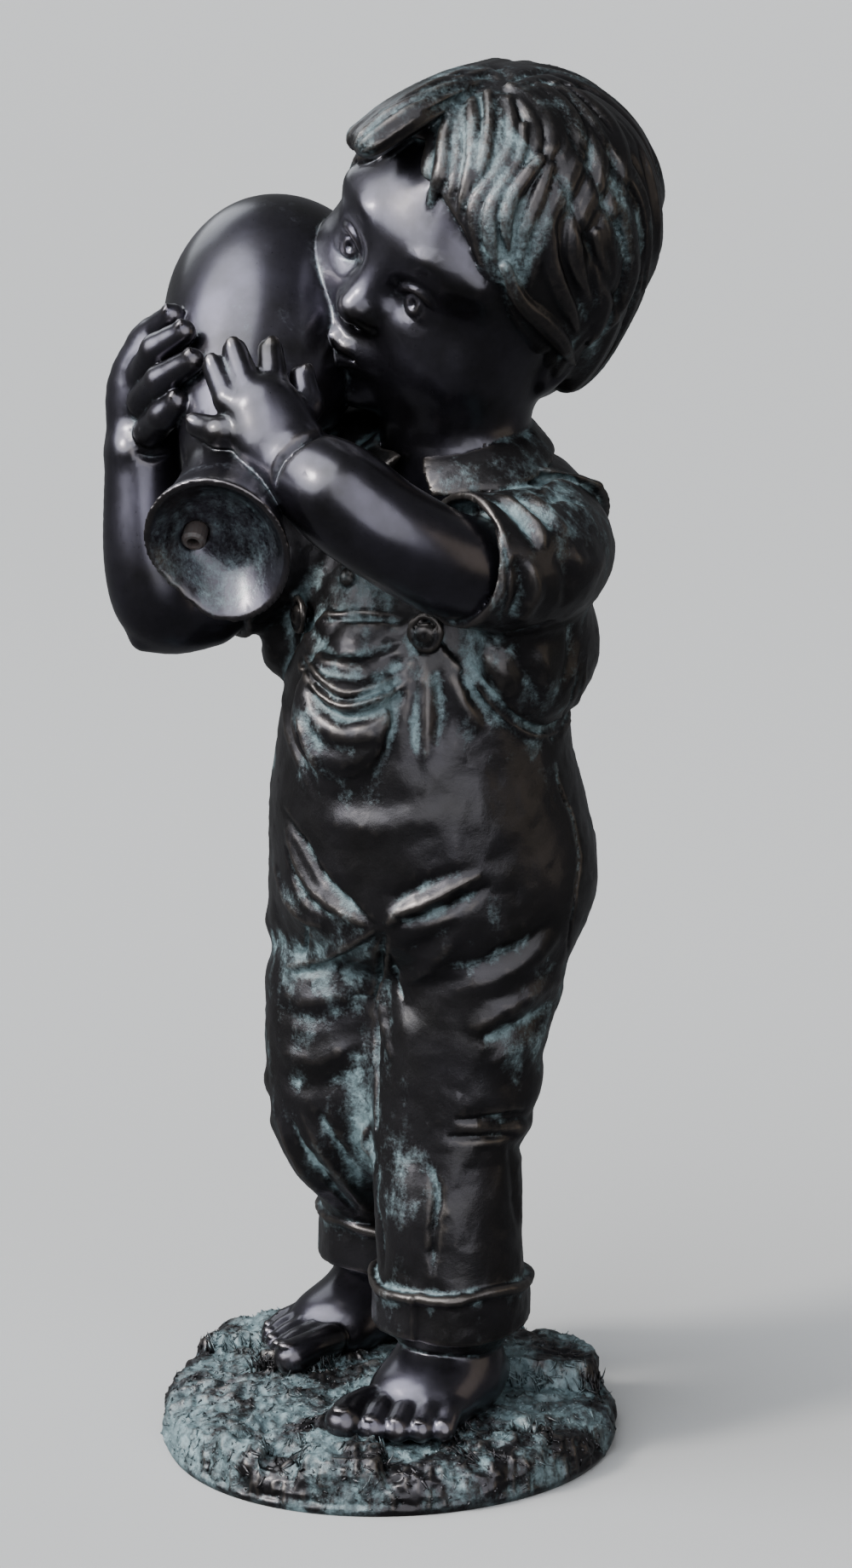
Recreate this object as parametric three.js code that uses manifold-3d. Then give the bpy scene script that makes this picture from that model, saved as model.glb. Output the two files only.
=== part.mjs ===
// A garden pond spitter: a small child in bib overalls, cast in one piece with a grassy base, who carries
// a jug on the right shoulder. Water leaves by a short tube set in the throat of the jug.
// Millimetres, +Z up. The front of the ornament faces -Y, and the origin is on the underside of the base.
import * as THREE from "three";
import { LoftGeometry } from "three/addons/geometries/LoftGeometry.js";
import { mergeVertices } from "three/addons/utils/BufferGeometryUtils.js";
import Module from "manifold-3d";

const wasm = await Module();
wasm.setup();

// Base: a low mound with an uneven outline
const BASE = {
  center: [-2, 11],
  radius: 130,
  rimHeight: 16,
  topHeight: 29,
  sides: 32,
  waves: [{ turns: 2, swing: 5, angle: 100 }, { turns: 3, swing: 3, angle: -13 }],
  ripple: 1.6,
};
const GROUND = BASE.topHeight;
// Clumps of turf that rise from the ground
const CLUMPS = [
  { at: [88, 27], half: [30, 30], rise: 14 },
  { at: [-23, -96], half: [25, 18], rise: 8 },
  { at: [-70, 76], half: [30, 24], rise: 9 },
  { at: [62, -78], half: [24, 16], rise: 4 },
];
const CLUMP_SINK = 6;

// Body: the trunk is turned towards the child's own right
const BODY_TURN = -32;
const TRUNK = {
  heights: [268, 282, 302, 328, 360, 392, 430, 468, 500, 526, 546],
  centersX: [25, 25, 25, 25, 22, 20, 23, 28, 36, 43, 47],
  centersY: [16, 16, 16, 16, 12, 9, 10, 13, 15, 13, 10],
  halfWidths: [52, 74, 86, 88, 85, 79, 78, 79, 80, 68, 46],
  halfDepths: [48, 70, 84, 88, 85, 79, 75, 70, 63, 54, 43],
  rows: 11,
  sides: 18,
};

// Legs: loose trousers with rolled cuffs over bare feet
const LEGS = {
  left: {
    path: [[54, -4, 318], [46, -11, 270], [37, -15, 220], [33, -18, 178], [33, -23, 140], [35, -26, 92]],
    radii: [51, 49, 44.5, 41, 40, 39.5],
    cuff: { center: [35, -26], low: 75, high: 104, radius: 42 },
    foot: { ankle: [36, -24], heading: 23, inner: -1, length: 1, raise: 0 },
  },
  right: {
    path: [[-8, 36, 318], [-18, 32, 268], [-22, 30, 212], [-21, 36, 172], [-10, 64, 134], [-3, 84, 94]],
    radii: [50, 48, 45, 42, 34, 31],
    cuff: { center: [-3, 79], low: 77, high: 107, radius: 37 },
    foot: { ankle: [-1, 90], heading: 52, inner: 1, length: 1.1, raise: 2 },
  },
};
const FOOT = {
  reach: [-20, 14, 52],
  heights: [14, 20, 11],
  radii: [24, 29, 30],
  flat: 0.66,
  ankle: { top: 60, bottom: 16, radii: [27, 29] },
  toeLength: 16,
};
const TOES = { side: [30, 15, 3, -9, -20], reach: [25, 21, 17, 12, 6], radius: [10.5, 8, 7.5, 7, 6.5] };

// Arms: short sleeves, bare forearms and hands that hold the jug
const ARMS = {
  left: {
    sleeve: { path: [[80, 2, 514], [85, -30, 504], [68, -68, 500], [38, -92, 505]], radii: [34, 37, 37, 34] },
    bare: {
      path: [[66, -66, 499], [36, -91, 502], [3, -107, 522], [-22, -108, 540], [-38, -103, 551]],
      radii: [24, 27, 26.5, 27, 21.5],
    },
    palm: { path: [[-44, -99, 554], [-54, -90, 570], [-60, -82, 584]], radii: [19, 22, 20], flat: 0.72 },
    fingers: [
      { path: [[-68, -88, 573], [-86, -83, 577], [-99, -71, 580]], radii: [9, 8, 6.5] },
      { path: [[-68, -82, 585], [-79, -75, 592], [-87, -60, 606]], radii: [9, 8.5, 7] },
      { path: [[-63, -80, 589], [-69, -73, 598], [-77, -57, 615]], radii: [9, 8.5, 7] },
      { path: [[-54, -78, 589], [-55, -69, 598], [-56, -55, 615]], radii: [9, 8.5, 7] },
      { path: [[-46, -80, 578], [-39, -66, 588], [-41, -57, 600]], radii: [9.5, 8.5, 7.5] },
    ],
  },
  right: {
    sleeve: { path: [[-10, 36, 527], [-52, 26, 498], [-92, 4, 474]], radii: [43, 38, 31] },
    bare: {
      path: [[-80, 8, 478], [-113, -10, 467], [-125, -14, 490], [-127, -12, 546]],
      radii: [26, 25, 26, 20],
    },
    corner: { path: [[-128, -13, 450], [-112, -10, 453], [-92, -7, 459]], radii: [6.5, 9, 13] },
    palm: { path: [[-127, -11, 552], [-125, -9, 580], [-120, -8, 600]], radii: [19, 22, 18], flat: 0.72 },
    fingers: [
      { path: [[-122, 0, 602], [-117, -4, 615], [-106, -19, 625]], radii: [9, 8.5, 7] },
      { path: [[-124, -14, 594], [-114, -28, 609], [-98, -39, 619]], radii: [9, 8.5, 7] },
      { path: [[-124, -24, 582], [-112, -40, 595], [-94, -53, 607]], radii: [9, 8.5, 7] },
      { path: [[-121, -28, 568], [-110, -46, 581], [-97, -57, 592]], radii: [8.5, 8, 6.5] },
    ],
  },
};

const SLEEVE_WALL = 4;

// Jug: a round-bottomed pitcher, stated along its axis from the widest belly to the mouth
const JUG = {
  belly: [-58.5, 36, 622],
  mouth: [-85, -120, 511],
  outer: [
    [0, -54], [26, -49], [46, -33], [56.5, 0], [54, 40],
    [43, 80], [30, 115], [24, 140], [27, 166], [39, 193],
  ],
  inner: [[36.5, 193], [25, 172], [19, 160], [0, 156]],
  lipTilt: 0.29,
  lipStart: 140,
  lipStretch: 1.06,
  lipDents: [{ angle: 225, spread: 34, depth: 0.29 }, { angle: 305, spread: 40, depth: 0.08 }],
  sides: 18,
};
const SPOUT = {
  outer: 6.2,
  bore: 3.2,
  proud: 24,
  depth: 22,
  chamfer: 1.5,
  clearance: 0.3,
  offset: [-13.5, -3.5],
  sides: 16,
};

// Head: its own frame has x to the child's left, y backwards and z up, and it leans on the jug
const HEAD = { center: [48, 6, 652], yaw: -42, pitch: 2, roll: 32, size: 1.09 };
const HEAD_FORMS = {
  skull: { at: [0, 8, 14], radii: [66, 77, 74], mesh: [10, 8] },
  face: { at: [0, -15, -23], radii: [61, 58, 68], mesh: [14, 10] },
  leftCheek: { at: [29, -40, -38], radii: [28, 24, 27], mesh: [8, 6] },
  rightCheek: { at: [-29, -40, -38], radii: [28, 24, 27], mesh: [8, 6] },
  chin: { at: [0, -51, -68], radii: [19, 14, 13], mesh: [8, 5] },
  brow: { at: [0, -54, 13], radii: [48, 15, 11], mesh: [9, 5] },
  nose: { at: [0, -71, -18], radii: [8, 10, 17], mesh: [6, 5] },
  noseTip: { at: [0, -76, -28], radii: [11, 9, 7.5], mesh: [7, 5] },
  leftEye: { at: [26, -58, -6], radii: [12, 9, 8], mesh: [7, 5] },
  rightEye: { at: [-26, -58, -6], radii: [12, 9, 8], mesh: [7, 5] },
  upperLip: { at: [0, -66, -47], radii: [14, 6, 4], mesh: [8, 4] },
  lowerLip: { at: [0, -63, -55], radii: [11, 6.5, 4.5], mesh: [8, 4] },
  nape: { at: [6, 28, -40], radii: [50, 40, 34], mesh: [10, 7] },
  napeHair: { at: [36, 30, -28], radii: [29, 27, 26], mesh: [8, 6] },
  leftEar: { at: [62, 6, -20], radii: [8, 13, 19], mesh: [7, 5] },
};
const NECK = { path: [[37, 0, 530], [37, -3, 566], [42, 0, 604]], radii: [44, 39, 42] };

// Hair: a shell of ridged locks that fans out from the crown over the skull, with loose locks at its edge
const HAIR = {
  crown: [-0.33, -0.2, 0.92],
  locks: 16,
  rows: [0.06, 0.28, 0.54, 0.8, 1],
  lift: 10,
  ridge: 3.5,
  sway: 0.2,
  tuck: 0.8,
  root: [0, 0, -45],
  hairline: { middle: -16.5, front: 47, sides: 7.5 },
};
const LOOSE_LOCKS = [
  { path: [[-18, -30, 84], [-34, -54, 66], [-42, -74, 46]], radii: [10, 12, 6] },
  { path: [[-4, -42, 88], [2, -74, 66], [-4, -84, 40]], radii: [10, 12, 4] },
  { path: [[16, -30, 88], [32, -64, 58], [30, -74, 22]], radii: [10, 13, 4] },
  { path: [[36, -18, 82], [58, -44, 44], [56, -52, 4]], radii: [10, 13, 5] },
  { path: [[58, 4, 60], [76, -12, 16], [70, -22, -22]], radii: [10, 13, 5] },
];

// Overalls: edges, pocket and buttons, by angle round the trunk from the front (left is positive) and height
const BIB = {
  edge: 468,
  halfAngle: 25,
  sideAngle: 92,
  sideHeight: 398,
  backAngle: 168,
  backHeight: 452,
  cord: 2.6,
};
const POCKET = { angle: -3, height: 425, radii: [34, 9, 36] };
const BUTTON_RADIUS = 6;
const STRAP = { radius: 11, flat: 0.3, lift: 0.5, spots: [[168, 446], [140, 490], [100, 528]] };
const COLLAR = {
  center: [40, 2],
  angles: [180, 140, 100, 60, 22],
  reaches: [41, 38, 42, 50, 55],
  heights: [560, 557, 551, 543, 538],
  radii: [10, 11, 12, 12, 4],
};

// Folds of cloth: tapered ridges, by share along and angle round a limb, or angle and height on the trunk
const LIMB_FOLDS = [
  { on: LEGS.left, spots: [[0.27, -58], [0.17, -25], [0.09, 2]], radius: 9 },
  { on: LEGS.left, spots: [[0.3, 0], [0.24, 40], [0.14, 80]], radius: 9 },
  { on: LEGS.left, spots: [[0.51, -5], [0.5, 50], [0.46, 115]], radius: 10 },
  { on: LEGS.left, spots: [[0.53, -85], [0.54, -45], [0.53, -5]], radius: 8 },
  { on: LEGS.left, spots: [[0.57, -20], [0.75, -14], [0.94, -22]], radius: 7 },
  { on: LEGS.right, spots: [[0.36, -75], [0.48, -30], [0.58, 0]], radius: 8 },
  { on: LEGS.right, spots: [[0.62, -70], [0.7, -25], [0.76, 20]], radius: 8 },
  { on: ARMS.left.sleeve, spots: [[0.1, -30], [0.45, -45], [0.85, -40]], radius: 7 },
  { on: ARMS.left.sleeve, spots: [[0.15, 40], [0.5, 60], [0.9, 50]], radius: 7 },
];
const TRUNK_FOLDS = [
  { spots: [[14, 305], [30, 318], [46, 334]], radius: 9 },
  { spots: [[-30, 284], [-8, 294], [13, 305]], radius: 9 },
];
const FOLD_SINK = 0.4;

// The shirt puffs out over the side of the overalls
const SHIRT_PUFF = { angle: 84, height: 448, radii: [26, 48, 40], sink: 10 };

const radians = THREE.MathUtils.degToRad;
const point = (p) => new THREE.Vector3(...p);

// A smooth curve through evenly spaced values, read at a share from 0 to 1.
function smooth(values) {
  const shares = values.map((_, i) => i / (values.length - 1));
  const curve = new THREE.CubicInterpolant(shares, values, 1);
  return (share) => curve.evaluate(share)[0];
}

// A closed geometry as a solid that can be joined and cut.
function solid(geometry) {
  const bare = new THREE.BufferGeometry().copy(geometry);
  bare.deleteAttribute("normal");
  bare.deleteAttribute("uv");
  const merged = mergeVertices(bare, 1e-3);
  const faces = [];
  for (let i = 0; i < merged.index.count; i += 3) {
    const [a, b, c] = merged.index.array.slice(i, i + 3);
    if (a !== b && b !== c && c !== a) faces.push(a, b, c);
  }
  const vertProperties = merged.attributes.position.array;
  return new wasm.Manifold(new wasm.Mesh({ numProp: 3, vertProperties, triVerts: new Uint32Array(faces) }));
}

const joined = (solids) => solids.reduce((whole, next) => whole.add(next));

// A solid as a geometry for a mesh.
function geometryOf(made) {
  const mesh = made.getMesh();
  const geometry = new THREE.BufferGeometry();
  geometry.setAttribute("position", new THREE.BufferAttribute(new Float32Array(mesh.vertProperties), 3));
  geometry.setIndex(new THREE.BufferAttribute(new Uint32Array(mesh.triVerts), 1));
  geometry.computeVertexNormals();
  return geometry;
}

// An ellipsoid, turned by degrees about x, y and z and then placed.
function ellipsoid(at, radii, mesh = [14, 10], turn = [0, 0, 0]) {
  const geometry = new THREE.SphereGeometry(1, ...mesh);
  geometry.scale(...radii);
  geometry.applyMatrix4(new THREE.Matrix4().makeRotationFromEuler(new THREE.Euler(...turn.map(radians))));
  return geometry.translate(...at);
}

// A ring of points about a centre, in the plane of two half axes.
function ring(center, across, over, sides) {
  return Array.from({ length: sides }, (_, i) => {
    const angle = (i / sides) * 2 * Math.PI;
    return center.clone().addScaledVector(across, Math.cos(angle)).addScaledVector(over, Math.sin(angle));
  });
}

const LIMB_UP = [0.2, -0.9, 0.38];
const DOME = { radius: 0.57, height: 0.82 };
const pathOf = (points) => new THREE.CatmullRomCurve3(points.map(point), false, "catmullrom", 0.5);

// The directions across and over a limb at a share of its path.
function limbAxes(path, share, up) {
  const forward = path.getTangent(share);
  const across = new THREE.Vector3().crossVectors(point(up), forward).normalize();
  return { forward, across, over: new THREE.Vector3().crossVectors(forward, across) };
}

// A point on a round limb: a share of its length, degrees round it from the front, and how far out.
function onLimb({ path: points, radii }, share, angle, out = 0) {
  const path = pathOf(points);
  const { across, over } = limbAxes(path, share, LIMB_UP);
  const reach = smooth(radii)(share) + out;
  const a = radians(angle);
  const p = path.getPoint(share).addScaledVector(across, reach * Math.sin(a));
  return p.addScaledVector(over, reach * Math.cos(a)).toArray();
}

// A limb: round or flattened sections that swell and narrow along a smooth path, closed by domed ends.
function limb(points, radii, { sides = 8, steps = 5, flat = 1, up = LIMB_UP, dome = [true, true] } = {}) {
  const path = pathOf(points);
  const radiusAt = smooth(radii);
  const sections = [];
  const section = (share, radius, slide) => {
    const { forward, across, over } = limbAxes(path, share, up);
    const center = path.getPoint(share).addScaledVector(forward, slide);
    sections.push(ring(center, across.multiplyScalar(radius), over.multiplyScalar(radius * flat), sides));
  };
  const [first, last] = [radii[0], radii.at(-1)];
  if (dome[0]) section(0, first * DOME.radius, -first * flat * DOME.height);
  for (let i = 0; i <= steps; i++) section(i / steps, radiusAt(i / steps), 0);
  if (dome[1]) section(1, last * DOME.radius, last * flat * DOME.height);
  return new LoftGeometry(sections, { capStart: true, capEnd: true });
}

// The trunk's centre and half axes at a height.
const trunkShape = (() => {
  const share = (z) => {
    const list = TRUNK.heights;
    const i = Math.min(Math.max(list.findIndex((h) => h > z), 1), list.length - 1);
    return (i - 1 + (z - list[i - 1]) / (list[i] - list[i - 1])) / (list.length - 1);
  };
  const x = smooth(TRUNK.centersX);
  const y = smooth(TRUNK.centersY);
  const width = smooth(TRUNK.halfWidths);
  const depth = smooth(TRUNK.halfDepths);
  return (z) => {
    const s = THREE.MathUtils.clamp(share(z), 0, 1);
    return { x: x(s), y: y(s), width: width(s), depth: depth(s) };
  };
})();

// A point on the trunk's surface: degrees from the front towards the child's left, height, and how far out.
function onTrunk(angle, z, out = 0) {
  const t = trunkShape(z);
  const a = radians(angle);
  const p = point([Math.sin(a) * (t.width + out), -Math.cos(a) * (t.depth + out), 0]);
  p.applyAxisAngle(point([0, 0, 1]), radians(BODY_TURN));
  return [p.x + t.x, p.y + t.y, z];
}

function trunk() {
  const across = point([1, 0, 0]).applyAxisAngle(point([0, 0, 1]), radians(BODY_TURN));
  const over = point([0, 1, 0]).applyAxisAngle(point([0, 0, 1]), radians(BODY_TURN));
  const { rows, sides } = TRUNK;
  const [low, high] = [TRUNK.heights[0], TRUNK.heights.at(-1)];
  const sections = Array.from({ length: rows + 1 }, (_, i) => {
    const z = low + ((high - low) * i) / rows;
    const t = trunkShape(z);
    const [a, b] = [across.clone().multiplyScalar(t.width), over.clone().multiplyScalar(t.depth)];
    return ring(point([t.x, t.y, z]), a, b, sides);
  });
  return solid(new LoftGeometry(sections, { capStart: true, capEnd: true }));
}

// How far the base reaches at an angle round its centre.
function baseReach(angle) {
  const wave = ({ turns, swing, angle: start }) => swing * Math.cos(turns * (angle - radians(start)));
  return BASE.waves.reduce((reach, w) => reach + wave(w), BASE.radius);
}

// How far the ground swells at an angle and a share of the way out.
const baseSwell = (angle, share) => BASE.ripple * Math.sin(5 * angle + 9 * share);

// A clump of turf: a low dome sunk into the ground.
const clump = ({ at, half, rise }) =>
  solid(ellipsoid([...at, GROUND - CLUMP_SINK], [...half, rise + CLUMP_SINK], [10, 6]));

function base() {
  const profile = [[0.985, 0], [1, 5], [0.99, BASE.rimHeight], [0.92, 23], [0.6, GROUND], [0.2, GROUND + 3]];
  const sections = profile.map(([share, z]) =>
    Array.from({ length: BASE.sides }, (_, i) => {
      const angle = (i / BASE.sides) * 2 * Math.PI;
      const swell = z > BASE.rimHeight ? baseSwell(angle, share) : 0;
      const reach = baseReach(angle) * share;
      const [x, y] = BASE.center;
      return point([x + reach * Math.cos(angle), y + reach * Math.sin(angle), z + swell]);
    }),
  );
  return solid(new LoftGeometry(sections, { capStart: true, capEnd: true }));
}

// A rolled trouser cuff: a drum with a proud upper edge.
function cuff({ center, low, high, radius }) {
  const profile = [[0, low], [radius - 2, low], [radius, high - 7], [radius + 2, high - 3]];
  profile.push([radius - 2, high], [0, high]);
  const points = profile.map(([r, z]) => new THREE.Vector2(r, z));
  const drum = new THREE.LatheGeometry(points, 12).rotateX(Math.PI / 2);
  return solid(drum.translate(center[0], center[1], 0));
}

// A bare foot: an ankle, a broad flat sole and five round toes.
function foot({ ankle, heading, inner, length, raise }) {
  const a = radians(heading);
  const ahead = point([-Math.sin(a), -Math.cos(a), 0]);
  const inward = point([Math.cos(a), -Math.sin(a), 0]).multiplyScalar(inner);
  const spot = (reach, side, z) => {
    const p = point([...ankle, GROUND + raise + z]).addScaledVector(ahead, reach * length);
    return p.addScaledVector(inward, side * length).toArray();
  };
  const sections = { flat: FOOT.flat, up: [0, 0, 1], sides: 10, steps: 3 };
  const sole = limb(FOOT.reach.map((reach, i) => spot(reach, 0, FOOT.heights[i])), FOOT.radii, sections);
  const { top, bottom, radii } = FOOT.ankle;
  const shank = limb([spot(0, 0, top), spot(4, 0, bottom)], radii, { steps: 1 });
  const ball = FOOT.reach.at(-1);
  const toes = TOES.side.map((side, i) => {
    const r = TOES.radius[i];
    const tip = ball + TOES.reach[i];
    const path = [spot(tip - FOOT.toeLength, side * 0.94, FOOT.heights.at(-1)), spot(tip, side, r * 0.75)];
    return limb(path, [r, r], { sides: 5, steps: 1 });
  });
  return [sole, shank, ...toes].map(solid);
}

function leg({ path, radii, cuff: rolled, foot: bare }) {
  return [solid(limb(path, radii, { sides: 11, steps: 7 })), cuff(rolled), ...foot(bare)];
}

// A sleeve with an open hem, the arm that comes out of it, the point of its elbow, and the hand.
function arm({ sleeve, bare, corner, palm, fingers }) {
  const outer = solid(limb(sleeve.path, sleeve.radii, { sides: 11, steps: 4, dome: [true, false] }));
  const [before, hem] = sleeve.path.slice(-2).map(point);
  const inside = sleeve.radii.at(-1) - SLEEVE_WALL;
  const mouth = [0.35, -0.5].map((share) => hem.clone().lerp(before, share).toArray());
  const hollow = solid(limb(mouth, [inside, inside + 1], { steps: 1 }));
  const forearm = solid(limb(bare.path, bare.radii, { sides: 9, steps: 6 }));
  const broad = { sides: 8, steps: 3, flat: palm.flat, up: [-0.2, -0.6, 0.75] };
  const back = solid(limb(palm.path, palm.radii, broad));
  const digits = fingers.map((f) => solid(limb(f.path, f.radii, { sides: 5, steps: 2 })));
  const elbow = corner ? [solid(limb(corner.path, corner.radii, { sides: 6, steps: 2 }))] : [];
  return [outer.subtract(hollow), forearm, ...elbow, back, ...digits];
}

// The jug's own frame: its axis runs from belly to mouth, and its second axis points up.
function jugFrame() {
  const axis = point(JUG.mouth).sub(point(JUG.belly)).normalize();
  const side = new THREE.Vector3().crossVectors(point([0, 0, 1]), axis).normalize();
  const up = new THREE.Vector3().crossVectors(axis, side);
  return new THREE.Matrix4().makeBasis(side, up, axis).setPosition(point(JUG.belly));
}

// How far the lip reaches at an angle round the mouth, as a share of a round one.
function lipReach(angle) {
  const dent = (d) => {
    const off = THREE.MathUtils.euclideanModulo(angle - radians(d.angle) + Math.PI, 2 * Math.PI) - Math.PI;
    return d.depth * Math.exp(-((off / radians(d.spread)) ** 2));
  };
  return JUG.lipDents.reduce((reach, d) => reach - dent(d), 1);
}

// Sets the mouth back at the top and forward at the bottom, and draws its edge in to a pouring lip.
function tiltLip(geometry) {
  const at = geometry.attributes.position;
  const mouth = JUG.outer.at(-1)[1];
  for (let i = 0; i < at.count; i++) {
    const w = THREE.MathUtils.smoothstep(at.getZ(i), JUG.lipStart, mouth);
    const reach = 1 + (lipReach(Math.atan2(at.getY(i), at.getX(i))) - 1) * w;
    const y = at.getY(i) * reach * (1 + (JUG.lipStretch - 1) * w);
    at.setXYZ(i, at.getX(i) * reach, y, at.getZ(i) - JUG.lipTilt * y * w);
  }
  return geometry;
}

// A turned shape about the jug's axis, from points of radius and distance along it.
const turned = (profile, sides) =>
  new THREE.LatheGeometry(profile.map(([r, s]) => new THREE.Vector2(r, s)), sides).rotateX(Math.PI / 2);

function jug() {
  const belly = new THREE.SplineCurve(JUG.outer.map(([r, s]) => new THREE.Vector2(r, s))).getPoints(12);
  belly[0].x = 0;
  const profile = [...belly.map((p) => [Math.max(p.x, 0), p.y]), ...JUG.inner];
  return solid(tiltLip(turned(profile, JUG.sides)).applyMatrix4(jugFrame()));
}

// The water tube stands a little proud of the throat's floor, in a socket with a running gap.
const spoutFloor = JUG.inner.at(-1)[1];
function socket() {
  const r = SPOUT.outer + SPOUT.clearance;
  const bottom = spoutFloor - SPOUT.depth - SPOUT.clearance;
  const top = spoutFloor + SPOUT.proud;
  const plug = turned([[0, bottom], [r, bottom], [r, top], [0, top]], SPOUT.sides);
  return solid(plug.translate(...SPOUT.offset, 0).applyMatrix4(jugFrame()));
}

function spout() {
  const { outer, bore, proud, depth } = SPOUT;
  const [low, high] = [spoutFloor - depth, spoutFloor + proud];
  const edge = SPOUT.chamfer;
  const profile = [[bore, low], [outer, low], [outer, high - edge], [outer - edge, high]];
  profile.push([bore, high], [bore, low]);
  return solid(turned(profile, SPOUT.sides).translate(...SPOUT.offset, 0).applyMatrix4(jugFrame()));
}

const headFrame = () => {
  const turn = new THREE.Euler(radians(HEAD.pitch), radians(HEAD.roll), radians(HEAD.yaw), "ZXY");
  const scale = new THREE.Vector3(1, 1, 1).multiplyScalar(HEAD.size);
  return new THREE.Matrix4().compose(point(HEAD.center), new THREE.Quaternion().setFromEuler(turn), scale);
};

function head() {
  const frame = headFrame();
  const forms = Object.values(HEAD_FORMS).map(({ at, radii, mesh }) =>
    solid(ellipsoid(at, radii, mesh).applyMatrix4(frame)),
  );
  return [...forms, solid(limb(NECK.path, NECK.radii, { sides: 12, steps: 2 }))];
}

// The height of the hairline at an angle round the head from the face.
function hairline(angle) {
  const { middle, front, sides } = HAIR.hairline;
  return middle + front * Math.cos(angle) + sides * Math.cos(2 * angle);
}

// A point of the hair in the head's frame: a direction round the crown, an angle down from it, how far out.
function onHair(direction, down, out) {
  const { at, radii } = HEAD_FORMS.skull;
  const crown = point(HAIR.crown).normalize();
  const front = point([0, -1, 0]).projectOnPlane(crown).normalize();
  const left = new THREE.Vector3().crossVectors(crown, front);
  const along = front.multiplyScalar(Math.cos(direction)).addScaledVector(left, Math.sin(direction));
  const ray = crown.multiplyScalar(Math.cos(down)).addScaledVector(along, Math.sin(down));
  return ray.multiply(point(radii.map((r) => r + out))).add(point(at));
}

// How far down from the crown a lock runs before it meets the hairline.
function lockReach(direction) {
  let down = radians(30);
  let p = onHair(direction, down, 0);
  while (p.z > hairline(Math.atan2(p.x, -p.y))) {
    down += radians(2);
    p = onHair(direction, down, 0);
  }
  return down;
}

// The hair: every second line from the crown is the ridge of a lock, and the ridges end lower.
function hair() {
  const columns = HAIR.locks * 2;
  const frame = headFrame();
  const row = (share, outside) =>
    Array.from({ length: columns }, (_, i) => {
      const start = (-i / columns) * 2 * Math.PI;
      const side = i % 2 ? -1 : 1;
      const direction = start + HAIR.sway * share * Math.sin(3 * start);
      const swell = HAIR.lift * Math.sin(0.5 + share * 1.9);
      const out = swell + side * HAIR.ridge * Math.min(1, share * 3);
      const down = lockReach(start) * share * (1 + 0.05 * side);
      const p = onHair(direction, down, out);
      return (outside ? p : p.multiplyScalar(HAIR.tuck)).applyMatrix4(frame);
    });
  const root = point(HAIR.root).applyMatrix4(frame);
  const core = row(HAIR.rows[0], true).map((p) => p.lerp(root, 0.85));
  const sections = [...HAIR.rows.map((share) => row(share, true)), row(1, false), core];
  const shell = solid(new LoftGeometry(sections, { capStart: true, capEnd: true }));
  const loose = LOOSE_LOCKS.map(({ path, radii }) => {
    const options = { sides: 5, steps: 3, flat: 0.6, up: [0, -0.6, 0.8] };
    return solid(limb(path, radii, options).applyMatrix4(frame));
  });
  return [shell, ...loose];
}

// Seams and edges laid on the trunk, from pairs of angle and height.
const laidOnTrunk = (pairs, out = 0) => pairs.map(([angle, z]) => onTrunk(angle, z, out));

function overalls() {
  const { edge, halfAngle, sideAngle, sideHeight, backAngle, backHeight, cord } = BIB;
  const top = laidOnTrunk([[-halfAngle, edge], [0, edge - 2], [halfAngle, edge]]);
  const sides = [1, -1].map((s) =>
    laidOnTrunk([
      [s * halfAngle, edge],
      [s * (halfAngle + sideAngle) * 0.5, (edge + sideHeight) * 0.5 - 8],
      [s * sideAngle, sideHeight],
      [s * (sideAngle + backAngle) * 0.52, sideHeight + 16],
      [s * backAngle, backHeight],
    ]),
  );
  const edges = [top, ...sides].map((path) => limb(path, path.map(() => cord), { sides: 3, steps: 5 }));
  const middle = onTrunk(POCKET.angle, POCKET.height, -1);
  const pouch = ellipsoid(middle, POCKET.radii, [10, 7], [0, 0, BODY_TURN]);
  const buttons = [-halfAngle, halfAngle].map((a) => {
    const r = BUTTON_RADIUS;
    return ellipsoid(onTrunk(a, edge - 7, 1), [r, r * 0.6, r], [6, 4], [0, 0, BODY_TURN + a]);
  });
  const straps = [1, -1].map((s) => {
    const path = laidOnTrunk(STRAP.spots.map(([angle, z]) => [s * angle, z]), STRAP.lift);
    const band = { flat: STRAP.flat, up: [-0.5, -0.8, -0.3], steps: 4, sides: 6 };
    return limb(path, path.map(() => STRAP.radius), band);
  });
  return [...edges, pouch, ...buttons, ...straps].map(solid);
}

// A turned-down collar: two flaps from the nape to points at the front.
function collar() {
  const { center, angles, reaches, heights, radii } = COLLAR;
  return [1, -1].map((s) => {
    const path = angles.map((angle, i) => {
      const a = radians(angle * s + BODY_TURN);
      return [center[0] + reaches[i] * Math.sin(a), center[1] - reaches[i] * Math.cos(a), heights[i]];
    });
    return solid(limb(path, radii, { flat: 0.5, up: [0, 0, 1], steps: 4, sides: 6 }));
  });
}

// Half-sunk ridges along points on a surface.
const ridge = (path, radius) => {
  const tapered = [radius * 0.3, radius, radius * 0.3];
  return solid(limb(path, tapered, { sides: 4, steps: 3 }));
};

function folds() {
  const onLimbs = LIMB_FOLDS.map(({ on, spots, radius }) => {
    return ridge(spots.map(([share, angle]) => onLimb(on, share, angle, -FOLD_SINK * radius)), radius);
  });
  const onBody = TRUNK_FOLDS.map(({ spots, radius }) => {
    return ridge(spots.map(([angle, z]) => onTrunk(angle, z, -FOLD_SINK * radius)), radius);
  });
  const { angle, height, radii, sink } = SHIRT_PUFF;
  const puff = solid(ellipsoid(onTrunk(angle, height, -sink), radii, [10, 7], [0, 0, BODY_TURN]));
  return [...onLimbs, ...onBody, puff];
}

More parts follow.
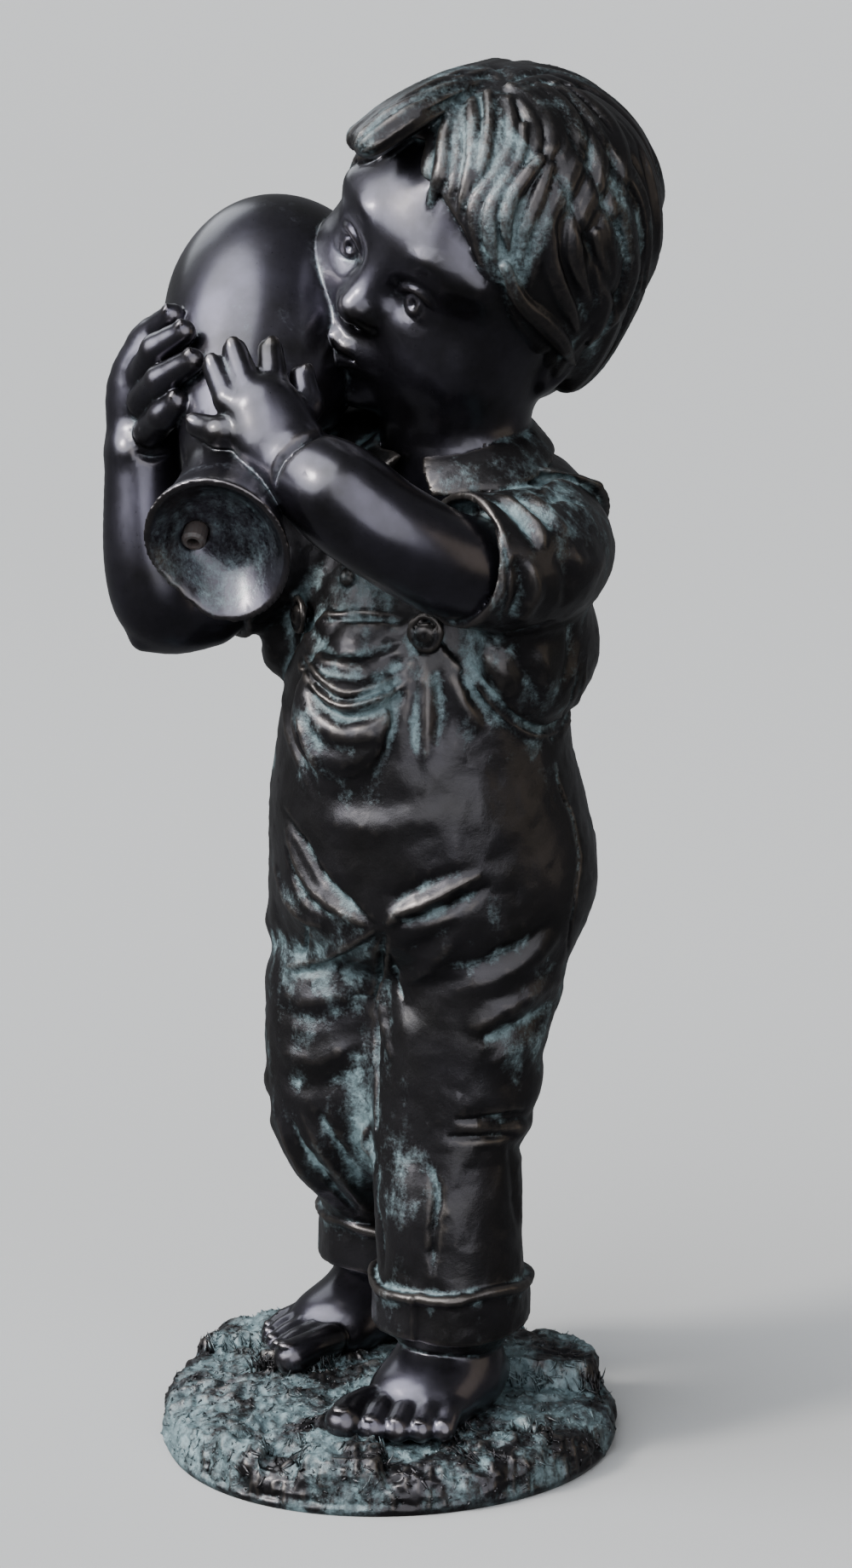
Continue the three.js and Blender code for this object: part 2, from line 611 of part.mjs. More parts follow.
function statue() {
  const legs = Object.values(LEGS).flatMap(leg);
  const arms = Object.values(ARMS).flatMap(arm);
  const clothes = [...overalls(), ...collar(), ...folds()];
  const ground = [base(), ...CLUMPS.map(clump)];
  const forms = [...ground, trunk(), ...legs, ...arms, ...head(), ...hair(), ...clothes, jug()];
  return joined(forms).subtract(socket());
}

const bronzeResin = new THREE.MeshStandardMaterial({ color: 0x3b3a3c, roughness: 0.42, metalness: 0.35 });
const pipe = new THREE.MeshStandardMaterial({ color: 0x2c2624, roughness: 0.6, metalness: 0.1 });

const spitter = new THREE.Group();
const pieces = [["statue", statue(), bronzeResin], ["spout_tube", spout(), pipe]];
for (const [name, made, material] of pieces) {
  const mesh = new THREE.Mesh(geometryOf(made), material);
  mesh.name = name;
  spitter.add(mesh);
}

export default spitter;
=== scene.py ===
"""Pond spitter: a child in bib overalls holding a jug, cast with a grassy base.

The child and the jug are carved in a grid of distances, meshed and thinned.
The ground is a shaped disc, and its grass is scattered by a node tree.
Carving is worked out in millimetres and the meshes are in metres.
"""

import math

import bmesh
import bpy
import numpy as np
from bpy.props import FloatProperty, FloatVectorProperty, IntProperty, PointerProperty
from mathutils import Matrix, Vector, kdtree


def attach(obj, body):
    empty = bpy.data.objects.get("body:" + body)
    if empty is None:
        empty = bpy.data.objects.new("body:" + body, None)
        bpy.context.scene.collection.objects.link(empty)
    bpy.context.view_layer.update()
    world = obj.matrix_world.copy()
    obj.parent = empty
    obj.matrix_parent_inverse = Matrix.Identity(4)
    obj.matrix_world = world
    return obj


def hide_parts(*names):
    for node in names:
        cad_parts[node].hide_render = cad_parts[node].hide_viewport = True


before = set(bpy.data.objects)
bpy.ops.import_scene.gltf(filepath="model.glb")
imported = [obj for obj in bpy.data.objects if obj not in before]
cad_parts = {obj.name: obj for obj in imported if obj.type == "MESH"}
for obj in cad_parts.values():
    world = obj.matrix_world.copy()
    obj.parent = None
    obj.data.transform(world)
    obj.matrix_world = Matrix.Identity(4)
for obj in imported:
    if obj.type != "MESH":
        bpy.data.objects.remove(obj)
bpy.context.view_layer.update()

bl_info = {
    "name": "Pond Spitter Statue",
    "version": (1, 0, 0),
    "blender": (4, 5, 0),
    "location": "View3D > Sidebar > Statue",
    "description": "A bronze-look garden statue of a child with a jug, carved in code",
    "category": "Add Mesh",
}

MM = 0.001
BODY = "root"
# The finishes of the carved surface.
SKIN, CLOTH, HAIR, JUG = 0, 1, 2, 3
# The distance that empty clay starts with, and the corners of the blocks of clay.
FAR = 40.0
STATUE_BOX = (-156.0, -142.0, 18.0), (156.0, 142.0, 756.0)
BARE_BOX = (-156.0, -142.0, 18.0), (140.0, 142.0, 640.0)
CLOTHES_BOX = (-135.0, -115.0, 60.0), (150.0, 140.0, 580.0)
HEAD_BOX = (-60.0, -130.0, 510.0), (156.0, 130.0, 756.0)
JUG_BOX = (-150.0, -142.0, 440.0), (20.0, 130.0, 700.0)
# How far off a stroke's rays start, before the camera's lens or beside the statue, and their length.
FRONT_START, SIDE_START, RAY_LENGTH = 1900, 250.0, 650

# Where the picture is taken from, and its size in pixels.
CAMERA_AT = (0.021, -2.2, 0.86)
CAMERA_PITCH = 12.6
CAMERA_FOCUS = 4948
PICTURE = (1000, 1840)

# The body, in millimetres.
GROUND = 29.0
BODY_TURN = -32.0
TRUNK_HEIGHTS = [268, 282, 302, 328, 360, 392, 430, 468, 500, 526, 546]
TRUNK_X = [25, 25, 25, 25, 22, 20, 23, 28, 36, 43, 47]
TRUNK_Y = [16, 16, 16, 16, 12, 9, 10, 13, 15, 13, 10]
TRUNK_WIDTH = [52, 74, 86, 88, 85, 79, 78, 79, 80, 68, 46]
TRUNK_DEPTH = [48, 70, 84, 88, 85, 79, 75, 70, 63, 54, 43]
BIB_EDGE = [(0, 466), (25, 468), (58, 425), (92, 398), (130, 412), (168, 452), (180, 454)]

LEGS = {
    "left": {
        "path": [
            (54, -4, 318), (46, -11, 270), (37, -15, 220), (33, -18, 178), (33, -23, 140), (35, -26, 92),
        ],
        "radii": [51, 49, 44.5, 41, 40, 39.5],
        "cuff": {"center": (35, -26), "low": 75, "high": 103, "radius": 42, "lap": -116, "wave": -1.8},
        "rolls": [(36, -16, 209, 31, 14.5, -85, 125, 12), (35, -19, 191, 35, 6.2, -95, 120, 4)],
        "foot": {"ankle": (36, -24), "heading": 23, "inner": -1, "length": 1, "raise": 0},
    },
    "right": {
        "path": [(-8, 36, 318), (-18, 32, 268), (-22, 30, 212), (-21, 36, 172), (-10, 64, 134), (-3, 84, 94)],
        "radii": [50, 48, 45, 42, 34, 31],
        "cuff": {"center": (-3, 79), "low": 77, "high": 107, "radius": 37.5, "lap": -30, "wave": 2.2},
        "rolls": [(-20, 38, 172, 33, 10, 150, 290, 10)],
        "foot": {"ankle": (-1, 90), "heading": 52, "inner": 1, "length": 1.17, "raise": 2},
    },
}
TOE_SIDE = [31, 16, 3.5, -8, -18.5]
TOE_REACH = [77, 73, 69, 64, 58]
TOE_RADIUS = [10.5, 8, 7.5, 7, 6.5]

ARMS = {
    "left": {
        "sleeve": [(76, 2, 508), (83, -30, 501), (68, -68, 500), (38, -92, 505)],
        "sleeve_radii": [32, 36.5, 37, 34],
        "arm": [(66, -66, 499), (36, -94, 502), (3, -111, 522), (-22, -109, 540), (-38, -101, 551)],
        "arm_radii": [24, 27, 26.5, 27, 21.5],
        "palm": [(-44, -99, 554), (-54, -93, 567), (-60, -88, 579)],
        "palm_radii": [19, 22, 20],
        "fingers": [
            ([(-67, -92, 568), (-82, -90, 570), (-94, -81, 572)], [9, 8, 6.5]),
            ([(-68, -89, 579), (-78, -83, 586), (-86, -69, 600)], [9, 8, 6.5]),
            ([(-63, -87, 583), (-69, -81, 592), (-76, -66, 608)], [9, 8, 6.5]),
            ([(-54, -85, 583), (-56, -77, 592), (-58, -64, 608)], [9, 8, 6.5]),
            ([(-46, -86, 573), (-40, -74, 582), (-42, -65, 594)], [9.5, 8.5, 7]),
        ],
    },
    "right": {
        "sleeve": [(-10, 36, 527), (-52, 26, 498), (-92, 4, 474)],
        "sleeve_radii": [43, 38, 31],
        "arm": [(-80, 8, 478), (-113, -10, 467), (-122, -14, 490), (-127, -12, 546)],
        "arm_radii": [26, 25, 26, 20],
        "palm": [(-127, -11, 552), (-125, -9, 580), (-120, -8, 600)],
        "palm_radii": [19, 22, 18],
        "fingers": [
            ([(-124, -4, 597), (-120, -9, 610), (-110, -23, 621)], [9, 8.5, 6.5]),
            ([(-125, -18, 589), (-117, -32, 604), (-103, -43, 615)], [9, 8.5, 6.5]),
            ([(-125, -28, 577), (-114, -44, 590), (-98, -57, 602)], [9, 8.5, 6.5]),
            ([(-122, -30, 562), (-114, -46, 572), (-106, -54, 580)], [8.5, 8, 6.5]),
        ],
        "elbow": [(-128, -13, 450), (-112, -10, 453), (-92, -7, 459)],
        "elbow_radii": [6.5, 9, 13],
    },
}
HEM_WALL, HEM_DEPTH, HEM_ROLL = 3.4, 12.0, 1.9

JUG_BELLY = np.array((-58.5, 36.0, 622.0))
JUG_MOUTH = np.array((-85.0, -120.0, 511.0))
# The jug's profile: radius and place along its axis, outside and then inside the mouth.
JUG_OUTER = [
    (0, -54), (26, -49), (46, -33), (56.5, 0), (54, 40),
    (43, 80), (31, 115), (26, 138), (31, 166), (39.5, 193),
]
JUG_INNER = [(36, 192.3), (28.5, 182), (20, 174), (0, 169)]
# The reach and spacing of the table of distances about the profile.
JUG_LOW, JUG_HIGH, JUG_OUT, JUG_CELL = -70, 216, 76, 0.5
LIP_TILT, LIP_START, LIP_STRETCH = 0.29, 140.0, 1.06
# Where the lip is drawn in: degrees round the mouth, spread and depth.
LIP_DENTS = [(225, 50, 0.28), (305, 40, 0.05)]
SPOUT_OFFSET, SPOUT_ENDS = (-13.5, -3.5), (133, 180)
SPOUT_SOCKET = 6.6

HEAD_AT = np.array((48.0, 6.0, 652.0))
HEAD_YAW, HEAD_PITCH, HEAD_ROLL, HEAD_SIZE = -42.0, 2.0, 32.0, 1.09
SKULL_AT = np.array((0.0, 8.0, 14.0))
SKULL_RADII = np.array((66.0, 77.0, 74.0))
CROWN = np.array((-0.33, -0.2, 0.92))
HAIRLINE = (-16.5, 52.0, 9.0)
LOCK_COUNT, LOCK_RISE, STRAND_RISE = 17, 3.6, 0.5
# Where the hair stands fuller or flatter than the skull: direction, rise and spread.
HAIR_SWELLS = [((0.67, 0.3, -0.68), 13.5, 0.42), ((-0.02, 0.2, 0.98), -2.6, 0.36)]
# Where the brow is bare higher up: degrees round the head, spread and rise.
BARE_BROW = (-17.0, 11.0, 18.0)


def unit(v):
    """A vector of length one."""
    v = np.asarray(v, float)
    return v / np.linalg.norm(v)


def smooth_line(points, count):
    """Points evenly along a smooth line through the given ones."""
    p = np.asarray(points, float)
    ends = np.vstack([2 * p[0] - p[1], p, 2 * p[-1] - p[-2]])
    t = np.linspace(0, len(p) - 1, count)
    i = np.minimum(t.astype(int), len(p) - 2)
    f = (t - i)[:, None]
    a, b, c, d = ends[i], ends[i + 1], ends[i + 2], ends[i + 3]
    return 0.5 * (2 * b + (c - a) * f + (2 * a - 5 * b + 4 * c - d) * f**2 + (3 * b - a - 3 * c + d) * f**3)


def step_up(low, high, x):
    """Rises smoothly from 0 at low to 1 at high."""
    t = np.clip((x - low) / (high - low), 0, 1)
    return t * t * (3 - 2 * t)


def noise(points, size, seed):
    """Smooth noise from -1 to 1 with lumps of about the given size."""
    p = points / size + seed * 17.31
    i = np.floor(p).astype(np.int64)
    f = p - i
    f = f * f * (3 - 2 * f)
    total = np.zeros(len(points))
    for corner in range(8):
        o = np.array([corner & 1, corner >> 1 & 1, corner >> 2])
        n = (i + o) @ np.array([73856093, 19349663, 83492791])
        n = (n ^ (n >> 13)) * 1274126177
        value = ((n ^ (n >> 16)) & 0xFFFF) / 32767.5 - 1
        total += value * np.prod(np.where(o, f, 1 - f), axis=1)
    return total


def join(a, b, blend):
    """The union of two distances with a fillet."""
    if blend <= 0:
        return np.minimum(a, b)
    h = np.clip(0.5 + 0.5 * (b - a) / blend, 0, 1)
    return b + (a - b) * h - blend * h * (1 - h)


def common(a, b, blend):
    """What two distances share, with a rounded edge."""
    return -join(-a, -b, blend)


def ellipse_distance(terms, radii):
    """Distance to an ellipse or ellipsoid from the offsets along its axes."""
    k0 = np.sqrt(sum((t / r) ** 2 for t, r in zip(terms, radii)))
    k1 = np.sqrt(sum((t / r**2) ** 2 for t, r in zip(terms, radii)))
    return k0 * (k0 - 1) / np.maximum(k1, 1e-6)


class Form:
    """A shape to carve with: parts, each with its box and its distance."""

    def __init__(self, parts):
        self.parts = parts
        self.low = np.min([p[0] for p in parts], axis=0)
        self.high = np.max([p[1] for p in parts], axis=0)


def ball(at, radii, turn=np.eye(3)):
    """An ellipsoid. The columns of turn are its axes."""
    at = np.asarray(at, float)
    reach = np.abs(turn) @ np.asarray(radii, float)

    def distance(x, y, z):
        x, y, z = x - at[0], y - at[1], z - at[2]
        terms = [x * turn[0, i] + y * turn[1, i] + z * turn[2, i] for i in range(3)]
        return ellipse_distance(terms, radii)

    return Form([(at - reach, at + reach, distance)])


def bar(a, b, ra, rb, flat, up, strands):
    """One stretch of a tube, round or flattened, with strands along it if asked."""
    d = b - a
    length = d @ d
    normal = unit(np.asarray(up) - d * (np.asarray(up) @ d) / length)
    side = np.cross(unit(d), normal)

    def distance(x, y, z):
        x, y, z = x - a[0], y - a[1], z - a[2]
        t = np.clip((x * d[0] + y * d[1] + z * d[2]) / length, 0, 1)
        x, y, z = x - t * d[0], y - t * d[1], z - t * d[2]
        r = ra + (rb - ra) * t
        if flat == 1 and not strands:
            return np.sqrt(x * x + y * y + z * z) - r
        v = x * normal[0] + y * normal[1] + z * normal[2]
        u = np.sqrt(np.maximum(x * x + y * y + z * z - v * v, 0))
        if strands:
            across = x * side[0] + y * side[1] + z * side[2]
            r = r * (1 + strands[1] * np.cos(strands[0] * np.arctan2(across, v / flat)))
        return ellipse_distance((u, v), (r, r * flat))

    reach = max(ra, rb)
    return np.minimum(a, b) - reach, np.maximum(a, b) + reach, distance


def tube(points, radii, flat=1, up=(0.2, -0.9, 0.38), count=0, strands=None):
    """A rounded tube along a smooth line, with a radius at each of its points."""
    count = count or 7 * (len(points) - 1) + 1
    line = smooth_line(points, count)
    r = np.maximum(smooth_line(np.asarray(radii, float)[:, None], count)[:, 0], 0.4)
    ups = np.broadcast_to(np.asarray(up, float), (count, 3))
    return Form([bar(*s, flat, u, strands) for *s, u in zip(line[:-1], line[1:], r[:-1], r[1:], ups)])


def drum(a, b, radius):
    """A round bar with flat ends."""
    way, length = unit(b - a), np.linalg.norm(b - a)

    def distance(x, y, z):
        x, y, z = x - a[0], y - a[1], z - a[2]
        t = x * way[0] + y * way[1] + z * way[2]
        out = np.sqrt(np.maximum(x * x + y * y + z * z - t * t, 0))
        return np.maximum(out - radius, np.abs(t - length / 2) - length / 2)

    return Form([(np.minimum(a, b) - radius, np.maximum(a, b) + radius, distance)])


def hoop(middle, axis, radius, thick):
    """A rounded ring about an axis."""
    side = unit(np.cross(axis, (0, 0, 1)))
    turns = np.linspace(0, 2 * math.pi, 37)
    round_it = np.outer(np.cos(turns), side) + np.outer(np.sin(turns), np.cross(axis, side))
    return tube(middle + radius * round_it, [thick] * len(turns), count=73)


class Clay:
    """A block of distances on a grid, with the finish of each spot."""

    def __init__(self, low, high, step):
        self.step = step
        self.start = np.floor(np.asarray(low) / step).astype(int)
        self.shape = np.ceil(np.asarray(high) / step).astype(int) - self.start + 1
        self.field = np.full(self.shape, FAR, np.float32)
        self.finish = np.zeros(self.shape, np.uint8)

    def span(self, low, high):
        """The slices of a box, and its coordinates along each axis."""
        first = np.clip(np.floor(low / self.step).astype(int) - self.start, 0, self.shape)
        last = np.clip(np.ceil(high / self.step).astype(int) - self.start + 1, 0, self.shape)
        cut = tuple(slice(a, max(a, b)) for a, b in zip(first, last))
        axes = [
            ((np.arange(s.start, s.stop) + first) * self.step).astype(np.float32)
            for first, s in zip(self.start, cut)
        ]
        return cut, (axes[0][:, None, None], axes[1][None, :, None], axes[2][None, None, :])

    def block(self, form, margin):
        """The distance to a form in its own box."""
        cut, _ = self.span(form.low - margin, form.high + margin)
        made = np.full([s.stop - s.start for s in cut], FAR, np.float32)
        for low, high, distance in form.parts:
            part, axes = self.span(low - margin, high + margin)
            inner = tuple(slice(p.start - s.start, p.stop - s.start) for p, s in zip(part, cut))
            made[inner] = np.minimum(made[inner], distance(*axes))
        return cut, made

    def add(self, *forms, blend=0.0, finish=None):
        """Joins forms on, one after the other."""
        for form in forms:
            cut, made = self.block(form, blend + 4)
            self.lay(cut, made, blend, finish)

    def lay(self, cut, made, blend, finish):
        """Joins distances on in a box."""
        if finish is not None:
            self.finish[cut] = np.where(made < self.field[cut], finish, self.finish[cut])
        self.field[cut] = join(self.field[cut], made, blend)

    def cut(self, *forms, blend=0.0):
        """Takes forms away."""
        for form in forms:
            cut, made = self.block(form, blend + 4)
            self.field[cut] = common(self.field[cut], -made, blend)

    def merge(self, other, blend, finish):
        """Joins another block of the same grid on."""
        first = other.start - self.start
        cut = tuple(slice(a, a + n) for a, n in zip(first, other.shape))
        self.lay(cut, other.field, blend, finish)

    def sample(self, points):
        """The distance at points, between the spots of the grid."""
        p = np.asarray(points) / self.step - self.start
        p = np.clip(p, 0, self.shape - 1.001)
        i = p.astype(int)
        f = p - i
        total = np.zeros(len(p))
        for corner in range(8):
            o = np.array([corner & 1, corner >> 1 & 1, corner >> 2])
            n = i + o
            total += self.field[n[:, 0], n[:, 1], n[:, 2]] * np.prod(np.where(o, f, 1 - f), axis=1)
        return total

    def skin(self):
        """The surface as points, quads and the finish of each point."""
        f = self.field
        inside = f < 0
        n = self.shape - 1
        count = np.zeros(n, np.uint8)
        corners = [(c & 1, c >> 1 & 1, c >> 2) for c in range(8)]
        for c in corners:
            count += inside[c[0] : c[0] + n[0], c[1] : c[1] + n[1], c[2] : c[2] + n[2]]
        cells = np.argwhere((count > 0) & (count < 8))
        index = np.full(n, -1, np.int32)
        index[tuple(cells.T)] = np.arange(len(cells))
        values = {c: f[tuple((cells + c).T)] for c in corners}
        total = np.zeros((len(cells), 3))
        crossings = np.zeros(len(cells))
        for a in corners:
            for axis in range(3):
                if a[axis]:
                    continue
                b = tuple(1 if i == axis else a[i] for i in range(3))
                va, vb = values[a], values[b]
                hit = (va < 0) != (vb < 0)
                t = np.where(hit, va / np.where(hit, va - vb, 1), 0)
                spot = np.tile(np.array(a, float), (len(cells), 1))
                spot[:, axis] += t
                total += spot * hit[:, None]
                crossings += hit
        points = (cells + total / crossings[:, None] + self.start) * self.step
        quads = []
        for axis in range(3):
            u, v = (axis + 1) % 3, (axis + 2) % 3
            lower = [slice(1, -1)] * 3
            upper = [slice(1, -1)] * 3
            lower[axis], upper[axis] = slice(0, -1), slice(1, None)
            a, b = inside[tuple(lower)], inside[tuple(upper)]
            edges = np.argwhere(a != b)
            out = a[tuple(edges.T)]
            edges[:, u] += 1
            edges[:, v] += 1
            ring = []
            for du, dv in ((1, 1), (0, 1), (0, 0), (1, 0)):
                cell = edges.copy()
                cell[:, u] -= du
                cell[:, v] -= dv
                ring.append(index[tuple(cell.T)])
            quad = np.stack(ring, axis=1)
            quads.append(np.where(out[:, None], quad, quad[:, ::-1]))
        near = np.clip(np.rint(points / self.step).astype(int) - self.start, 0, self.shape - 1)
        return points, np.concatenate(quads), self.finish[tuple(near.T)]


class Surface:
    """A carved surface: its points, faces and what is worked out on them."""

    def __init__(self, points, faces):
        self.points = points
        self.faces = faces
        pairs = np.concatenate([faces[:, [i, (i + 1) % faces.shape[1]]] for i in range(faces.shape[1])])
        self.one = np.concatenate([pairs[:, 0], pairs[:, 1]])
        self.two = np.concatenate([pairs[:, 1], pairs[:, 0]])
        self.degree = np.maximum(np.bincount(self.one, minlength=len(points)), 1)

    def spread(self, values, rounds, share=1.0):
        """Values averaged over their neighbours, some rounds of it."""
        for _ in range(rounds):
            mean = [np.bincount(self.one, v[self.two], len(v)) / self.degree for v in values.T]
            values = values + (np.stack(mean, axis=1) - values) * share
        return values

    def soften(self, rounds):
        """Smooths the steps of the grid away with little shrinking."""
        for _ in range(rounds):
            self.points = self.spread(self.points, 1, 0.6)
            self.points = self.spread(self.points, 1, -0.62)

    def normals(self):
        """A normal at each point."""
        p = self.points
        a, b, c, d = (p[self.faces[:, i]] for i in (0, 1, 2, -1))
        n = np.cross(c - a, d - b) if self.faces.shape[1] == 4 else np.cross(b - a, c - a)
        total = np.zeros_like(p)
        for i in range(self.faces.shape[1]):
            for k in range(3):
                total[:, k] += np.bincount(self.faces[:, i], n[:, k], len(p))
        return total / np.maximum(np.linalg.norm(total, axis=1), 1e-9)[:, None]

    def stroke(self, line, width, height, facing):
        """Pushes a ridge, or with a negative height a groove, along a line."""
        p = self.points
        near = np.flatnonzero(np.all((p > line.min(0) - 3 * width) & (p < line.max(0) + 3 * width), axis=1))
        near = near[(self.facings[near] @ facing) > -0.2]
        if not len(near):
            return
        q = p[near]
        best = np.full(len(near), 1e9)
        share = np.zeros(len(near))
        for i, (a, b) in enumerate(zip(line[:-1], line[1:])):
            d = b - a
            t = np.clip((q - a) @ d / max(d @ d, 1e-9), 0, 1)
            gap = np.linalg.norm(q - a - t[:, None] * d, axis=1)
            closer = gap < best
            best[closer] = gap[closer]
            share[closer] = (i + t[closer]) / (len(line) - 1)
        taper = np.sin(np.pi * np.clip(share, 0, 1)) ** 0.6
        push = height * taper * np.exp(-((best / (width * (0.45 + 0.55 * taper))) ** 2))
        self.points[near] += self.facings[near] * push[:, None]


def mesh_of(name, points, faces):
    """A mesh in metres from points in millimetres."""
    mesh = bpy.data.meshes.new(name)
    mesh.vertices.add(len(points))
    mesh.vertices.foreach_set("co", (points * MM).astype(np.float32).ravel())
    mesh.loops.add(faces.size)
    mesh.loops.foreach_set("vertex_index", faces.astype(np.int32).ravel())
    mesh.polygons.add(len(faces))
    mesh.polygons.foreach_set("loop_start", np.arange(0, faces.size, faces.shape[1], dtype=np.int32))
    mesh.update(calc_edges=True)
    mesh.validate()
    return mesh


def piece_of(name, mesh):
    """A new object with its place in its mesh."""
    piece = bpy.data.objects.new(name, mesh)
    bpy.context.scene.collection.objects.link(piece)
    mesh.shade_smooth()
    return piece


def settled(piece):
    """The piece with its modifiers worked into a plain mesh."""
    graph = bpy.context.evaluated_depsgraph_get()
    mesh = bpy.data.meshes.new_from_object(piece.evaluated_get(graph))
    piece.modifiers.clear()
    piece.data = mesh
    mesh.name = piece.name
    return mesh


def thin(piece, limit):
    """Thins a mesh to a number of triangles, most where it is flat."""
    triangles = sum(len(p.vertices) - 2 for p in piece.data.polygons)
    if triangles > limit:
        fewer = piece.modifiers.new("fewer", "DECIMATE")
        fewer.ratio = limit / triangles
        settled(piece)
    piece.data.shade_smooth()


def paint(mesh, name, values):
    """Keeps values on a mesh's points for its material."""
    layer = mesh.attributes.new(name, "FLOAT", "POINT")
    layer.data.foreach_set("value", np.asarray(values, np.float32))


def carry(mesh, points, layers):
    """Takes values from the finest points to the points of the thinned mesh."""
    tree = kdtree.KDTree(len(points))
    for i, p in enumerate(points * MM):
        tree.insert(p, i)
    tree.balance()
    nearest = np.array([tree.find(v.co)[1] for v in mesh.vertices])
    for name, values in layers.items():
        paint(mesh, name, values[nearest])


def relief(surface, step):
    """How sunk and how proud each point is, from a narrow and a wide look."""
    n = surface.normals()
    sunk = []
    for area, size in ((6.25, 0.4), (60.0, 2.2)):
        rounds = max(1, round(area / step**2))
        away = surface.spread(surface.points, rounds) - surface.points
        sunk.append(np.einsum("ij,ij->i", away, n) / size)
    narrow, wide = sunk
    recess = np.clip(narrow, 0, 1) * 0.7 + np.clip(wide, 0, 1) * 0.7
    return {"recess": np.clip(recess, 0, 1), "ridge": np.clip(-narrow, 0, 1)}


# Views that strokes are drawn in: each turns a stroke's places into rays.
def front_rays(places):
    """Rays through pixels of the picture."""
    a = math.radians(CAMERA_PITCH)
    ahead = np.array((0, math.cos(a), -math.sin(a)))
    up = np.array((0, math.sin(a), math.cos(a)))
    across = (places[:, :1] - PICTURE[0] / 2) / CAMERA_FOCUS
    rise = (PICTURE[1] / 2 - places[:, 1:]) / CAMERA_FOCUS
    way = ahead + across * np.array((1, 0, 0)) + rise * up
    way /= np.linalg.norm(way, axis=1)[:, None]
    start = np.array(CAMERA_AT) / MM + way * FRONT_START
    return start, way, -ahead


def back_rays(places):
    """Rays from behind, through places across and up."""
    start = np.stack([places[:, 0], np.full(len(places), SIDE_START), places[:, 1]], axis=1)
    return start, np.tile((0.0, -1.0, 0.0), (len(places), 1)), np.array((0, 1.0, 0))


def side_rays(sign):
    """Rays from the right of the picture, or with -1 from its left."""

    def rays(places):
        start = np.stack([np.full(len(places), sign * SIDE_START), places[:, 0], places[:, 1]], axis=1)
        return start, np.tile((-sign * 1.0, 0.0, 0.0), (len(places), 1)), np.array((sign * 1.0, 0, 0))

    return rays


def laid(clay, rays, places):
    """The line where a stroke lies on the clay, which of its points do, and where it faces."""
    line = smooth_line(places, 6 * (len(places) - 1) + 1)
    start, way, facing = rays(line)
    t = np.arange(0, RAY_LENGTH, 1.0)
    spots = start[:, None, :] + way[:, None, :] * t[None, :, None]
    hit = clay.sample(spots.reshape(-1, 3)).reshape(len(line), -1) < 0
    found = hit.any(axis=1)
    return (start + way * t[hit.argmax(axis=1)][:, None])[found], found, facing


HEAD_TURN = np.array(
    Matrix.Rotation(math.radians(HEAD_YAW), 3, "Z")
    @ Matrix.Rotation(math.radians(HEAD_PITCH), 3, "X")
    @ Matrix.Rotation(math.radians(HEAD_ROLL), 3, "Y")
)


def on_head(p):
    """Places in the head's own frame, taken to the statue's."""
    return np.asarray(p, float) @ HEAD_TURN.T * HEAD_SIZE + HEAD_AT


def head_ball(at, radii):
    """An ellipsoid of the head."""
    return ball(on_head(at), np.asarray(radii, float) * HEAD_SIZE, HEAD_TURN)


def head_tube(points, radii, **options):
    """A tube of the head."""
    if "up" in options:
        options["up"] = np.asarray(options["up"], float) @ HEAD_TURN.T
    return tube(on_head(points), np.asarray(radii, float) * HEAD_SIZE, **options)


TRUNK_TABLE = smooth_line(
    np.stack([TRUNK_HEIGHTS, TRUNK_X, TRUNK_Y, TRUNK_WIDTH, TRUNK_DEPTH], axis=1).astype(float), 200
)


def trunk_at(z):
    """The trunk's middle and half sizes at a height."""
    return [np.interp(z, TRUNK_TABLE[:, 0], TRUNK_TABLE[:, i]) for i in (1, 2, 3, 4)]


def trunk_axes(x, y, z):
    """Offsets to the child's left and front from the trunk's middle, and its half sizes there."""
    a = math.radians(BODY_TURN)
    at = trunk_at(z)
    dx, dy = x - at[0], y - at[1]
    left = dx * math.cos(a) + dy * math.sin(a)
    front = dx * math.sin(a) - dy * math.cos(a)
    return left, front, at[2], at[3]


def trunk_form(inset, top):
    """The trunk, drawn in by an inset and cut at a height or along the overalls' edge."""

    def distance(x, y, z):
        left, front, width, depth = trunk_axes(x, y, z)
        d = ellipse_distance((left, front), (width, depth)) + inset
        if top is None:
            angle = np.degrees(np.arctan2(np.abs(left), front))
            edge = np.interp(angle, [a for a, _ in BIB_EDGE], [h for _, h in BIB_EDGE])
            d = common(d, (z - edge) * 0.85, 2.5)
        else:
            d = common(d, z - top, 10)
        return common(d, TRUNK_HEIGHTS[0] - z, 14)

    return Form([(np.array((-75.0, -95.0, 262.0)), np.array((130.0, 120.0, 556.0)), distance)])


def on_trunk(angle, z, out):
    """A point of the trunk at an angle from its front and a height."""
    a, turn = math.radians(angle), math.radians(BODY_TURN)
    x, y, w, d = trunk_at(z)
    left, front = (w + out) * math.sin(a), (d + out) * math.cos(a)
    return (
        x + left * math.cos(turn) + front * math.sin(turn),
        y + left * math.sin(turn) - front * math.cos(turn),
        z,
    )


